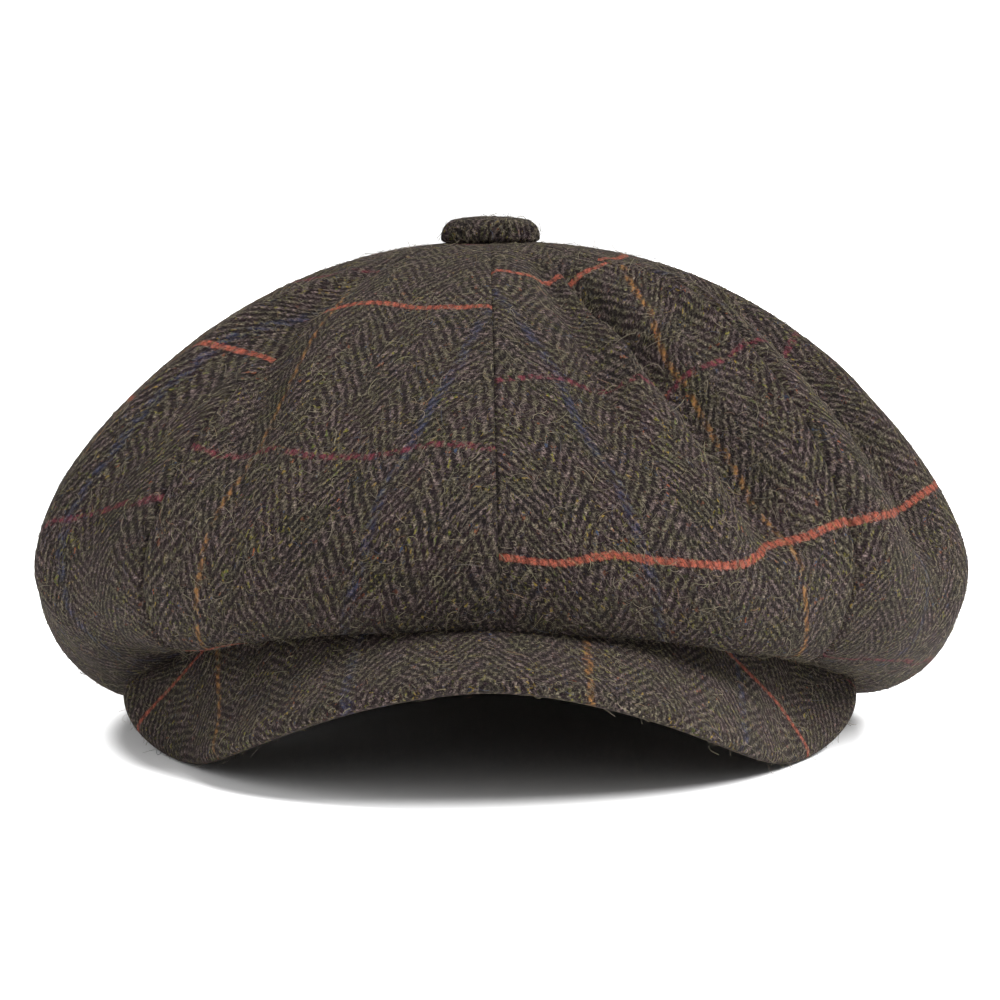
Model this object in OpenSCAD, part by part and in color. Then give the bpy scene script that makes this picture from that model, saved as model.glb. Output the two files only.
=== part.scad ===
// Eight-piece newsboy cap: a full soft crown of eight gores that meet under a covered button,
// a lining of eight gores, a twill sweatband on a tape around the head opening, and a short
// brim of two covers over a board, which droops at its sides until it rests on the table.
// The cap stands as it does on a shelf. It faces -Y and +X is the wearer's left.

/* [Head opening] */
// Length of the opening, front to back, inside the sweatband
head_length = 197; // [180:1:215]
// Width of the opening inside the sweatband
head_width = 158; // [146:1:180]
// Height of the opening's edge at the front, where the brim holds it up
opening_front = 47; // [38:1:54]
// Height of the opening's edge at the back
opening_back = 6; // [5:1:12]

/* [Crown] */
// Height of the cloth at the top of the crown
crown_height = 142; // [125:0.5:165]
// Width of the crown at its fullest
crown_width = 268; // [245:1:310]
// How far the crown stands out past the head opening at the front
front_overhang = 25; // [15:1:35]
// How far the crown stands out past the head opening at the back
back_overhang = 37; // [25:1:50]
// Thickness of the tweed
tweed = 2; // [1:0.1:3]
// How far each gore puffs out between its seams
gore_puff = 2.5; // [0:0.5:5]
// How far the seams beside the front and back swing towards the back, top to bottom, in degrees
seam_swing = 8; // [0:1:12]

/* [Lining] */
// Thickness of the satin lining
satin = 0.8; // [0.4:0.1:1.5]
// Gap between the tweed and the lining
lining_gap = 3.5; // [2:0.5:6]

/* [Sweatband] */
// Height of the sweatband
sweatband_height = 32; // [24:1:40]
// Thickness of the sweatband
sweatband_wall = 1.2; // [0.8:0.1:2]
// Height of the tape that stiffens the opening
tape_height = 14; // [8:1:22]
// Thickness of that tape
tape_wall = 0.8; // [0.5:0.1:1.5]
// Stitches around the sweatband
stitch_count = 60; // [30:1:90]

/* [Brim] */
// Length of the brim at its middle
brim_length = 52; // [42:1:62]
// Angle that half of the brim spans around the opening
brim_half_angle = 88; // [75:1:89]
// Slope of the brim at its middle, below level
brim_slope_front = 13; // [5:1:20]
// Slope of the brim at its sides, below level
brim_slope_side = 56; // [45:0.5:60]
// How far the brim bows out between its sewn edge and its rim, where it droops most
brim_bow = 2.5; // [0:0.5:6]
// Thickness of the brim board
board_wall = 1.6; // [1:0.1:2.5]
// Thickness of each brim cover
cover_wall = 1.6; // [1:0.1:2.5]

/* [Button] */
// Diameter of the covered button
button_diameter = 28.5; // [20:0.5:34]
// Height of the covered button
button_height = 7; // [5:0.1:10]
// Diameter of the button's shank
shank_diameter = 2.4; // [2:0.1:3]

/* [Hidden] */
SIDES = ["left", "right"];
GORES = ["front", "temple", "ear", "back"];

// Fine gap between pieces that lie against each other
clear = 0.3;
gore_angle = 360 / (len(GORES) * len(SIDES));

// Heights of the crown's fullest line at the front, side and back, and of its lowest line
full_front = 66;
full_side = 51;
full_back = 43;
low_side = 10;
// Powers that shape the crown: its dome, and how its lowest line falls away from the front
dome_power = 0.655;
low_power = 1.15;
// Where the lowest line lies between the opening, 0, and the fullest line, 1
low_share_front = 0.68;
low_share_side = 0.46;
// How far above the opening's edge the lining meets the sweatband
lining_rise = 6;

// What lies between the inside of the sweatband and the crown's sewn edge
band_layers = sweatband_wall + tape_wall + 2 * clear;
crown_front = head_length / 2 + band_layers + front_overhang;
crown_back = head_length / 2 + band_layers + back_overhang;

// The brim is thickest over its board and thins to its two covers at the rim
brim_core = board_wall / 2;
brim_thick = board_wall + 2 * cover_wall;
rim_inset = 4;
// Powers of the brim's outline and droop, and the angle where it droops most
outline_power = 2.5;
outline_round = 0.45;
droop_power = 1.8;
droop_angle = 48;
brim_tip = 2;

// At the front the crown's lowest line lies on the brim
low_front = opening_front - low_share_front * front_overhang * tan(brim_slope_front) + 3 * clear;

// The whole cap is set so that its length is centred on the origin
brim_reach = head_length / 2 + band_layers + brim_length * cos(brim_slope_front);
centre_y = (brim_reach - crown_back) / 2;

// Steps across a gore, and along it from the button to the sewn edge
gore_steps = 8;
crown_roll = [0, 12, 24, 36, 47, 57, 66, 74, 82, 90, 108, 126, 144, 162, 180, 200, 220, 245, 270];
lining_steps = 6;
lining_roll = [0, 15, 30, 45, 58, 70, 80, 90, 108, 126, 144, 162, 180];
brim_steps = 40;
rim_steps = [0, 0.25, 0.5, 0.72, 0.88, 0.96, 1];
band_steps = 64;

tweed_brown = [0.29, 0.26, 0.23];
satin_brown = [0.20, 0.13, 0.09];
twill_black = [0.08, 0.08, 0.09];
board_grey = [0.62, 0.60, 0.55];
button_steel = [0.66, 0.67, 0.68];

// ---- The head opening ----

// Distance of the opening's oval from its middle, at an angle from the front
function oval(angle, offset) =
  1 / norm([sin(angle) / (head_width / 2 + offset), cos(angle) / (head_length / 2 + offset)]);

// Height of the opening's edge, which tilts up to the front
function edge_z(angle) =
  opening_back + (opening_front - opening_back) * (1 + cos(angle)) / 2;

// A point at an angle from the front, at a distance from the middle and a height
function at(angle, r, z) = [r * sin(angle), -r * cos(angle), z];

// The oval's own outward direction, seen from above
function oval_out(angle) =
  let (d = [sin(angle) / pow(head_width, 2), -cos(angle) / pow(head_length, 2)])
  d / norm(d);

// ---- The crown's surface ----

// A value that runs smoothly from the front to the side to the back
function around(angle, front, side, back, front_power = 2) =
  side
  + (front - side) * pow(max(cos(angle), 0), front_power)
  + (back - side) * pow(max(-cos(angle), 0), 2);

// Distance of the crown's fullest line from the middle
function full_r(angle) =
  let (along = cos(angle) > 0 ? crown_front : crown_back)
  1 / norm([sin(angle) / (crown_width / 2), cos(angle) / along]);

// The domed upper part that crown and lining share, from the button at a roll of 0 to the
// fullest line at 90
function dome_point(angle, roll, full, top, puff) =
  let (
    tip = shank_diameter / 2 + clear,
    full_z = around(angle, full_front, full_side, full_back)
  )
  at(
    angle,
    max(full * sin(roll), tip) + puff * sin(roll),
    full_z + (top - full_z) * pow(max(1 - pow(sin(roll), 2), 0), dome_power)
  );

// The crown at an angle from the front and a roll: the roll goes from 0 at the button to 90
// at the fullest line, 180 at the lowest line, and 270 where the cloth is sewn to the opening
function crown_point(angle, roll, puff = 0) =
  let (
    full = full_r(angle),
    sewn = oval(angle, band_layers),
    low = sewn + around(angle, low_share_front, low_share_side, low_share_side) * (full - sewn),
    full_z = around(angle, full_front, full_side, full_back),
    low_z = around(angle, low_front, low_side, low_back, low_power),
    sewn_z = edge_z(angle) + clear,
    tuck = roll - 180,
    on_brim = pow(max(cos(angle), 0), 4)
  )
  roll <= 90
  ? dome_point(angle, roll, full, crown_height, puff)
  : roll <= 180
  ? at(
      angle,
      low + (full + puff - low) * sin(roll),
      full_z - (full_z - low_z) * sin(roll - 90)
    )
  : at(
      angle,
      low - (low - sewn) * sin(tuck),
      low_z + (sewn_z - low_z) * (on_brim * sin(tuck) + (1 - on_brim) * (1 - cos(tuck)))
    );

// The lining follows the crown inside it, then turns in to the sweatband at a roll of 180
function lining_point(angle, roll, puff = 0) =
  let (
    depth = tweed + lining_gap,
    full = full_r(angle) - depth,
    sewn = oval(angle, band_layers + clear),
    full_z = around(angle, full_front, full_side, full_back),
    sewn_z = edge_z(angle) + lining_rise
  )
  roll <= 90
  ? dome_point(angle, roll, full, crown_height - depth, puff)
  : at(
      angle,
      sewn + (full + puff - sewn) * sin(roll),
      full_z - (full_z - sewn_z) * sin(roll - 90)
    );

function gore_point(lined, angle, roll, puff = 0) =
  lined ? lining_point(angle, roll, puff) : crown_point(angle, roll, puff);

// Outward direction of the crown's or lining's surface, from points close by
function gore_out(lined, angle, roll) =
  let (
    step = 0.5,
    last = lined ? 180 : 270,
    from = max(roll, 2 + step),
    along = gore_point(lined, angle, min(from + step, last)) - gore_point(lined, angle, from - step),
    across = gore_point(lined, angle + step, from) - gore_point(lined, angle - step, from),
    out = cross(along, across)
  )
  out / norm(out);

// The angle that a line of the cloth has at a roll, for the angle that it has at the button
function swung(angle, roll) = angle + seam_swing * sin(angle) * pow(min(roll / 180, 1), 1.5);

// A grid of points, set in by a depth, for the gore that starts at an angle
function gore_grid(lined, start, steps, rolls, depth) = [
  for (i = [0:steps])
  let (share = i / steps, puff = gore_puff * 4 * share * (1 - share))
  [
    for (roll = rolls)
    let (angle = swung(start + gore_angle * share, roll))
    gore_point(lined, angle, roll, puff) - depth * gore_out(lined, angle, roll)
  ]
];

// ---- The brim's surface ----

// Length of the brim at an angle from the front
function brim_reach_at(angle) =
  (brim_length - brim_tip) * pow(1 - pow(min(abs(angle) / brim_half_angle, 1), outline_power), outline_round)
  + brim_tip;

// How much the brim droops at an angle from the front, from 0 to 1
function droop(angle) = pow(sin(min(90 * abs(angle) / droop_angle, 180)), droop_power);

// Slope of the brim below level at an angle from the front
function brim_slope(angle) =
  brim_slope_front + (brim_slope_side - brim_slope_front) * droop(angle);

// The brim's top surface, from the sewn edge at 0 to the rim at 1, set in by an inset
function brim_point(angle, share, inset = 0) =
  let (
    sewn = at(angle, oval(angle, band_layers), edge_z(angle)),
    out = oval_out(angle),
    slope = brim_slope(angle),
    reach = share * max(brim_reach_at(angle) - inset, brim_tip / 2),
    whole = brim_reach_at(angle),
    bow = brim_bow * droop(angle) * sin(180 * reach / whole) * whole / brim_length
  )
  sewn
  + reach * [out.x * cos(slope), out.y * cos(slope), -sin(slope)]
  + bow * [out.x * sin(slope), out.y * sin(slope), cos(slope)];

// Upward direction of the brim's surface
function brim_up(angle, share) =
  let (
    step = 0.5,
    mid = max(share, 0.1),
    along = brim_point(angle, mid + 0.05) - brim_point(angle, mid - 0.05),
    across = brim_point(angle + step, mid) - brim_point(angle - step, mid),
    up = cross(along, across)
  )
  up / norm(up);

// Angles across the brim, closer together at its ends, where the outline turns quickly
function brim_angles(steps, half) = [
  for (i = [0:steps])
  let (place = 2 * i / steps - 1)
  half * (place + sin(90 * place)) / 2
];

// How much of the board's thickness is left at a share of the brim's length
function core_left(share) = min(1, (1 - share) * brim_length / rim_inset);

// A grid of points a height above the brim's middle layer; core follows the board's edge
function brim_grid(half, height, core, inset = 0) = [
  for (angle = brim_angles(brim_steps, half))
  [
    for (share = rim_steps)
    brim_point(angle, share, inset)
    + (height + core * core_left(share) - brim_thick / 2) * brim_up(angle, share)
  ]
];

// The cap rests on the two lowest points of the brim's rim, which set how far it is lifted
rest_lift = -min([for (row = brim_grid(brim_half_angle, -cover_wall, -brim_core)) for (p = row) p.z]);
// The back of the crown rests on the table with them
low_back = -rest_lift;

// ---- Solids from grids ----

// A closed solid between two grids of the same size, upper outside and lower inside
module sheet_solid(upper, lower) {
  rows = len(upper);
  cols = len(upper[0]);
  last = rows - 1;
  tail = cols - 1;
  function top(i, j) = i * cols + j;
  function bottom(i, j) = rows * cols + i * cols + j;
  function quad(a, b, c, d) = [[a, b, c], [a, c, d]];
  polyhedron(
    points = concat([for (row = upper) each row], [for (row = lower) each row]),
    faces = concat(
      [for (i = [0:last - 1]) for (j = [0:tail - 1])
        each quad(top(i, j), top(i + 1, j), top(i + 1, j + 1), top(i, j + 1))],
      [for (i = [0:last - 1]) for (j = [0:tail - 1])
        each quad(bottom(i, j), bottom(i, j + 1), bottom(i + 1, j + 1), bottom(i + 1, j))],
      [for (i = [0:last - 1]) each quad(top(i, 0), bottom(i, 0), bottom(i + 1, 0), top(i + 1, 0))],
      [for (i = [0:last - 1]) each quad(top(i, tail), top(i + 1, tail), bottom(i + 1, tail), bottom(i, tail))],
      [for (j = [0:tail - 1]) each quad(top(0, j), top(0, j + 1), bottom(0, j + 1), bottom(0, j))],
      [for (j = [0:tail - 1]) each quad(top(last, j), bottom(last, j), bottom(last, j + 1), top(last, j + 1))]
    )
  );
}

// A closed band around the opening, between two offsets from the sweatband's inside
module oval_band(inner, outer, low, high) {
  corner = [[inner, low], [outer, low], [outer, high], [inner, high]];
  function next(i) = (i + 1) % band_steps;
  polyhedron(
    points = [
      for (i = [0:band_steps - 1])
      let (angle = 360 * i / band_steps)
      for (c = corner)
      at(angle, oval(angle, c[0]), edge_z(angle) + c[1])
    ],
    faces = [
      for (i = [0:band_steps - 1]) for (k = [0:3])
      let (a = 4 * i + k, b = 4 * i + (k + 1) % 4, c = 4 * next(i) + (k + 1) % 4, d = 4 * next(i) + k)
      each [[a, b, c], [a, c, d]]
    ]
  );
}

// ---- Crown and lining ----

function gore_start(number, side) = side == "left" ? number * gore_angle : -(number + 1) * gore_angle;

// A gore between two depths below its own surface
module gore(lined, start, steps, rolls, wall) {
  sheet_solid(gore_grid(lined, start, steps, rolls, 0), gore_grid(lined, start, steps, rolls, wall));
}

module crown_gore(number, side) {
  color(tweed_brown) gore(false, gore_start(number, side), gore_steps, crown_roll, tweed);
}

module lining_gore(number, side) {
  color(satin_brown) gore(true, gore_start(number, side), lining_steps, lining_roll, satin);
}

// ---- Head opening pieces ----

module sweatband() {
  color(twill_black) oval_band(0, sweatband_wall, -3, sweatband_height - 3);
}

module head_tape() {
  inner = sweatband_wall + clear;
  color(board_grey) oval_band(inner, inner + tape_wall, -2, tape_height - 2);
}

// One row of thread stitches around the sweatband, on its inner face
module sweatband_stitches() {
  thread = 0.7;
  length = 4;
  color(twill_black)
    for (i = [0:stitch_count - 1]) {
      angle = 360 * (i + 0.5) / stitch_count;
      out = oval_out(angle);
      r = oval(angle, -thread / 2 - 0.1);
      translate(at(angle, r, edge_z(angle)))
        rotate([0, 0, atan2(out.y, out.x)])
        rotate([90, 0, 0])
        cylinder(d = thread, h = length, center = true, $fn = 16);
    }
}

// ---- Brim ----

module brim_top_cover() {
  color(tweed_brown)
    sheet_solid(brim_grid(brim_half_angle, cover_wall, brim_core), brim_grid(brim_half_angle, 0, brim_core));
}

module brim_under_cover() {
  color(tweed_brown)
    sheet_solid(brim_grid(brim_half_angle, 0, -brim_core), brim_grid(brim_half_angle, -cover_wall, -brim_core));
}

module brim_board() {
  half = brim_half_angle - 4;
  face = brim_core - 0.05;
  color(board_grey)
    sheet_solid(brim_grid(half, face, 0, rim_inset), brim_grid(half, -face, 0, rim_inset));
}

// ---- Button ----

button_z = crown_height + clear;
button_r = button_diameter / 2;
button_cloth = 1.4;
shell_wall = 0.6;
back_wall = 0.8;
$fn = 72;

// Half outline of a low dome with round shoulders, set in by a depth
module dome_outline(depth) {
  r = button_r - depth;
  h = button_height - depth;
  shoulder = 3.2;
  intersection() {
    offset(r = shoulder, $fn = 48)
      offset(delta = -shoulder)
      polygon([[-r, -h], [r, -h], [r, 0.72 * h], [0.55 * r, 0.95 * h], [0, h], [-0.55 * r, 0.95 * h], [-r, 0.72 * h]]);
    translate([0, depth]) square([r, h]);
  }
}

// The cloth cup, gathered in under the button and open in the middle below
module button_cover() {
  color(tweed_brown)
    translate([0, 0, button_z])
    rotate_extrude() {
      difference() {
        dome_outline(0);
        translate([-1, -1]) square([button_r - button_cloth - 1.2, 1 + button_cloth + clear]);
        dome_outline(button_cloth);
      }
    }
}

module button_shell() {
  color(button_steel)
    translate([0, 0, button_z])
    rotate_extrude()
    difference() {
      dome_outline(button_cloth + clear / 2);
      translate([0, -shell_wall]) dome_outline(button_cloth + clear / 2 + shell_wall);
      square([button_r - 2 * button_cloth - 0.6, button_cloth + back_wall + 2 * clear]);
    }
}

// The plate that closes the shell from below and carries the shank
module button_back() {
  color(button_steel)
    translate([0, 0, button_z + button_cloth + clear / 2])
    cylinder(r = button_r - button_cloth - shell_wall - 2.4, h = back_wall);
}

// The shank goes down between the gore tips and is spread under the washer
module button_shank() {
  top = button_z + button_cloth + clear / 2;
  bottom = crown_height - tweed - 2.4;
  color(button_steel) {
    translate([0, 0, bottom]) cylinder(d = shank_diameter, h = top - bottom);
    translate([0, 0, bottom]) cylinder(d = 2 * shank_diameter, h = 0.6);
  }
}

module button_washer() {
  color(button_steel)
    translate([0, 0, crown_height - tweed - 1.5])
    difference() {
      cylinder(d = 14, h = 1);
      translate([0, 0, -1]) cylinder(d = shank_diameter + 2 * clear, h = 3);
    }
}

// ---- Assembly ----

translate([0, centre_y, rest_lift]) {
  for (number = [0:len(GORES) - 1]) for (side = SIDES) {
    crown_gore(number, side);
    lining_gore(number, side);
  }
  head_tape();
  sweatband();
  sweatband_stitches();
  brim_top_cover();
  brim_board();
  brim_under_cover();
  button_cover();
  button_shell();
  button_back();
  button_shank();
  button_washer();
}
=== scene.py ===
"""Eight-piece newsboy cap in herringbone tweed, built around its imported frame."""

import math
from types import SimpleNamespace

import bpy
import numpy as np
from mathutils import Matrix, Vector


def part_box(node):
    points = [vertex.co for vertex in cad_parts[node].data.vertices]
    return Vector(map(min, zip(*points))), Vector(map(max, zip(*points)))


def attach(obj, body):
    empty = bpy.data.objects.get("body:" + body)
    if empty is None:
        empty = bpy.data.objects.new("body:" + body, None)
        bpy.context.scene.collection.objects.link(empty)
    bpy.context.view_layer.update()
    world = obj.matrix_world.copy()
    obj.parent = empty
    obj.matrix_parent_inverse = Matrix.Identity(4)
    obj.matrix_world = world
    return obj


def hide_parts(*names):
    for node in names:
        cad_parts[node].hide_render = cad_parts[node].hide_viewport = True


bl_info = {
    "name": "Newsboy Cap",
    "version": (1, 0, 0),
    "blender": (4, 5, 0),
    "location": "3D View > Sidebar > Cap",
    "description": "Builds a soft eight-gore tweed cap around its packed frame",
    "category": "Add Mesh",
}

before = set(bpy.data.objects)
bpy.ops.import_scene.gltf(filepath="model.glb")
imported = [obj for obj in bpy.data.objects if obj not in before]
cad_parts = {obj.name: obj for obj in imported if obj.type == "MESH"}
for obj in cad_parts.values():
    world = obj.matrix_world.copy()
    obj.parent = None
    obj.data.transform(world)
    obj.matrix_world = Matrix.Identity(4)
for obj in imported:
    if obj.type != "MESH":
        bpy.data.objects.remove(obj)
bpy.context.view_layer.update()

MM = 0.001
SIDES = ("left", "right")
GORES = ("front", "temple", "ear", "back")
GORE_ANGLE = 360 / (len(GORES) * len(SIDES))
CLEAR = 0.3


# ---- Sizes, in millimetres inside the functions ----

class CapSizes(bpy.types.PropertyGroup):
    """Sizes of the cap's own pieces"""

    head_length: bpy.props.FloatProperty(
        name="Head length", description="Length of the head opening inside the sweatband",
        default=0.197, unit="LENGTH")
    head_width: bpy.props.FloatProperty(
        name="Head width", description="Width of the head opening inside the sweatband",
        default=0.158, unit="LENGTH")
    opening_front: bpy.props.FloatProperty(
        name="Opening front", description="Height of the opening's edge at the front",
        default=0.047, unit="LENGTH")
    opening_back: bpy.props.FloatProperty(
        name="Opening back", description="Height of the opening's edge at the back",
        default=0.006, unit="LENGTH")
    crown_height: bpy.props.FloatProperty(
        name="Crown height", description="Height of the cloth under the button",
        default=0.142, unit="LENGTH")
    crown_width: bpy.props.FloatProperty(
        name="Crown width", description="Width of the crown at its fullest",
        default=0.268, unit="LENGTH")
    front_overhang: bpy.props.FloatProperty(
        name="Front overhang", description="How far the crown stands past the opening at the front",
        default=0.025, unit="LENGTH")
    back_overhang: bpy.props.FloatProperty(
        name="Back overhang", description="How far the crown stands past the opening at the back",
        default=0.037, unit="LENGTH")
    tweed: bpy.props.FloatProperty(
        name="Tweed", description="Thickness of the tweed", default=0.002, unit="LENGTH")
    satin: bpy.props.FloatProperty(
        name="Satin", description="Thickness of the lining", default=0.0008, unit="LENGTH")
    lining_gap: bpy.props.FloatProperty(
        name="Lining gap", description="Gap between the tweed and the lining",
        default=0.0035, unit="LENGTH")
    gore_puff: bpy.props.FloatProperty(
        name="Gore puff", description="How far a gore puffs out between its seams",
        default=0.0025, unit="LENGTH")
    band_height: bpy.props.FloatProperty(
        name="Band height", description="Height of the sweatband", default=0.032, unit="LENGTH")
    band_wall: bpy.props.FloatProperty(
        name="Band wall", description="Thickness of the sweatband", default=0.0012, unit="LENGTH")
    tape_wall: bpy.props.FloatProperty(
        name="Tape wall", description="Thickness of the tape behind the sweatband",
        default=0.0008, unit="LENGTH")
    brim_length: bpy.props.FloatProperty(
        name="Brim length", description="Length of the brim at its middle",
        default=0.052, unit="LENGTH")
    cover_wall: bpy.props.FloatProperty(
        name="Cover wall", description="Thickness of each brim cover", default=0.0016, unit="LENGTH")
    button_diameter: bpy.props.FloatProperty(
        name="Button diameter", description="Diameter of the covered button",
        default=0.0285, unit="LENGTH")
    button_height: bpy.props.FloatProperty(
        name="Button height", description="Height of the covered button",
        default=0.007, unit="LENGTH")
    seam_swing: bpy.props.FloatProperty(
        name="Seam swing", description="Angle by which the seams swing to the back, top to bottom",
        default=math.radians(8), subtype="ANGLE")
    fold_depth: bpy.props.FloatProperty(
        name="Fold depth", description="Share of full depth that the crown's soft folds have",
        default=1.9, min=0, max=2, subtype="FACTOR")


FULL_Z = (66, 51, 43)  # height of the fullest line at the front, the sides and the back
LOW_SIDE = 10  # height of the lowest line at the sides
DOME_POWER = 0.655  # how squarely the dome rises
LOW_POWER = 1.15  # how squarely the lowest line rises towards the front
LOW_SHARE = (0.68, 0.46)  # how far out the lowest line stands in front and elsewhere
LINING_RISE = 6  # the lining's sewn edge over the opening's edge
CROWN_ROLL, LINING_ROLL = 270, 180  # rolls at which the crown and the lining are sewn
TIP_RADIUS = 1.5  # where the gores end under the button
LEAN = 3.0  # how far the crown leans to the wearer's left
BRIM_HALF = 88  # angle from the brim's middle to each end
BRIM_SLOPE = (13, 56)  # slope at the brim's middle and where it droops most
BRIM_BOW = 2.5  # how far the brim bows between its sewn edge and its rim
BRIM_THICK = 4.8  # the whole brim's thickness
BRIM_CORE = 0.8  # half the board's thickness
BRIM_TIP = 2  # the brim's length at its ends
OUTLINE = (2.5, 0.45)  # powers of the brim's super ellipse
DROOP = (1.8, 48)  # power of the droop, and the angle at which it is greatest
RIM_INSET = 4  # over how much of the rim the board thins out
COVER_ROUND = 2.6  # over how much of the rim a cover closes
COVER_ROOT = 82  # radius of the sewn edge when a cover is laid flat
BAND_UNDER = 3  # how far the sweatband reaches below the opening's edge
BAND_RUN = 560  # length of its weave once round the opening
GORE_FIBRES, BRIM_FIBRES, BUTTON_FIBRES = 2200, (1900, 900), 160
SEEDS = {"ripples": 5, "puckers": 21, "gore stripes": 40, "brim stripes": 60,
         "gore fibres": 100, "brim fibres": 130, "button fibres": 140}


def measures(context):
    """The cap's sizes in millimetres, from the panel's values and from where the frame stands."""
    sizes = context.scene.cap_sizes
    names = [n for n in CapSizes.__annotations__ if n not in ("seam_swing", "fold_depth")]
    m = SimpleNamespace(**{n: getattr(sizes, n) / MM for n in names})
    m.seam_swing = math.degrees(sizes.seam_swing)
    m.fold_depth = sizes.fold_depth
    m.layers = m.band_wall + m.tape_wall + 2 * CLEAR
    m.crown_front = m.head_length / 2 + m.layers + m.front_overhang
    m.crown_back = m.head_length / 2 + m.layers + m.back_overhang
    low, high = (np.array(c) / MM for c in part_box("button_cover"))
    m.centre_y = (low[1] + high[1]) / 2
    m.lift = low[2] - m.crown_height - CLEAR
    return m


# ---- Shape functions: angles in degrees from the front, towards the wearer's left ----

def dsin(angle):
    """Sine of an angle in degrees."""
    return np.sin(np.radians(angle))


def dcos(angle):
    """Cosine of an angle in degrees."""
    return np.cos(np.radians(angle))


def smooth(low, high, value):
    """0 below low, 1 above high, and an even S between them."""
    t = np.clip((value - low) / (high - low), 0, 1)
    return t * t * (3 - 2 * t)


def bell(value, width):
    """A bell curve: 1 at 0, and falling off over the width."""
    return np.exp(-((value / width) ** 2))


def unit(vectors):
    """Vectors brought to length 1: each over its own length."""
    return vectors / np.maximum(np.linalg.norm(vectors, axis=-1, keepdims=True), 1e-9)


def run_along(line):
    """Length run along a line up to each of its points: the running sum of the steps between."""
    return np.concatenate([[0], np.cumsum(np.linalg.norm(np.diff(line, axis=0), axis=1))])


def at(angle, r, z):
    """Points at an angle from the front, a distance from the middle and a height."""
    angle, r, z = np.broadcast_arrays(angle, r, z)
    return np.stack([r * dsin(angle), -r * dcos(angle), z], -1)


def oval(m, angle, offset):
    """Ellipse: one over the length of (sine over half width, cosine over half length)."""
    across, along = m.head_width / 2 + offset, m.head_length / 2 + offset
    return 1 / np.hypot(dsin(angle) / across, dcos(angle) / along)


def oval_out(m, angle):
    """The ellipse's outward direction seen from above: sine over width squared sideways, and cosine
    over length squared to the front."""
    return unit(np.stack([dsin(angle) / m.head_width**2, -dcos(angle) / m.head_length**2], -1))


def edge_z(m, angle):
    """Height of the opening's edge, a raised cosine from the back to the front."""
    return m.opening_back + (m.opening_front - m.opening_back) * (1 + dcos(angle)) / 2


def around(angle, front, side, back, front_power=2):
    """The side's value, plus a power of the cosine towards the front and the back."""
    cos = dcos(angle)
    to_front = (front - side) * np.maximum(cos, 0) ** front_power
    return side + to_front + (back - side) * np.maximum(-cos, 0) ** 2


def full_r(m, angle):
    """The fullest line: two half ellipses of one width, longer at the back."""
    along = np.where(dcos(angle) > 0, m.crown_front, m.crown_back)
    return 1 / np.hypot(dsin(angle) / (m.crown_width / 2), dcos(angle) / along)


def dome(m, angle, roll, full, top, puff):
    """Radius grows with the sine of the roll, and height with a power of its cosine squared."""
    full_z = around(angle, *FULL_Z)
    return at(
        angle,
        np.maximum(full * dsin(roll), TIP_RADIUS) + puff * dsin(roll),
        full_z + (top - full_z) * np.maximum(1 - dsin(roll) ** 2, 0) ** DOME_POWER)


def crown_point(m, angle, roll, puff=0.0):
    """The crown: a dome to a roll of 90, a quarter ellipse in to the lowest line at 180, and a
    short turn up to the sewn edge at 270."""
    angle, roll, puff = np.broadcast_arrays(angle, roll, np.asarray(puff, float))
    full, sewn = full_r(m, angle), oval(m, angle, m.layers)
    low = sewn + around(angle, *LOW_SHARE, LOW_SHARE[1]) * (full - sewn)
    full_z = around(angle, *FULL_Z)
    drop = LOW_SHARE[0] * m.front_overhang * math.tan(math.radians(BRIM_SLOPE[0]))
    low_front = m.opening_front - drop + 3 * CLEAR
    low_z = around(angle, low_front, LOW_SIDE, -m.lift, LOW_POWER)
    sewn_z = edge_z(m, angle) + CLEAR
    side = at(angle, low + (full + puff - low) * dsin(roll), full_z - (full_z - low_z) * dsin(roll - 90))
    turn = roll - 180
    on_brim = np.maximum(dcos(angle), 0) ** 4
    rise = on_brim * dsin(turn) + (1 - on_brim) * (1 - dcos(turn))
    tuck = at(angle, low - (low - sewn) * dsin(turn), low_z + (sewn_z - low_z) * rise)
    top = dome(m, angle, np.minimum(roll, 90), full, m.crown_height, puff)
    r = roll[..., None]
    return np.where(r <= 90, top, np.where(r <= 180, side, tuck))


def lining_point(m, angle, roll, puff=0.0):
    """The crown's dome set in by the tweed and the gap, then a quarter ellipse in to the sweatband."""
    angle, roll, puff = np.broadcast_arrays(angle, roll, np.asarray(puff, float))
    depth = m.tweed + m.lining_gap
    full, sewn = full_r(m, angle) - depth, oval(m, angle, m.layers + CLEAR)
    full_z, sewn_z = around(angle, *FULL_Z), edge_z(m, angle) + LINING_RISE
    side = at(angle, sewn + (full + puff - sewn) * dsin(roll), full_z - (full_z - sewn_z) * dsin(roll - 90))
    top = dome(m, angle, np.minimum(roll, 90), full, m.crown_height - depth, puff)
    return np.where(roll[..., None] <= 90, top, side)


def outward(m, point, angle, roll, last):
    """Outward direction of an unpuffed surface: the cross product of its two slopes."""
    step = 0.5
    mid = np.maximum(roll, 2 + step)
    along = point(m, angle, np.minimum(mid + step, last)) - point(m, angle, mid - step)
    across = point(m, angle + step, mid) - point(m, angle - step, mid)
    return unit(np.cross(along, across))


def swung(m, angle, roll):
    """The seams beside the front and back swing towards the back, by the sine of the angle."""
    return angle + m.seam_swing * dsin(angle) * np.minimum(roll / 180, 1) ** 1.5


# ---- The brim ----

def droop(angle):
    """How much the brim droops: a power of the sine, 0 at its middle and most towards its sides."""
    return dsin(np.minimum(90 * np.abs(angle) / DROOP[1], 180)) ** DROOP[0]


def brim_reach(m, angle):
    """The brim's outline, a flattened super ellipse of the angle."""
    share = np.minimum(np.abs(angle) / BRIM_HALF, 1)
    return (m.brim_length - BRIM_TIP) * (1 - share ** OUTLINE[0]) ** OUTLINE[1] + BRIM_TIP


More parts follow.
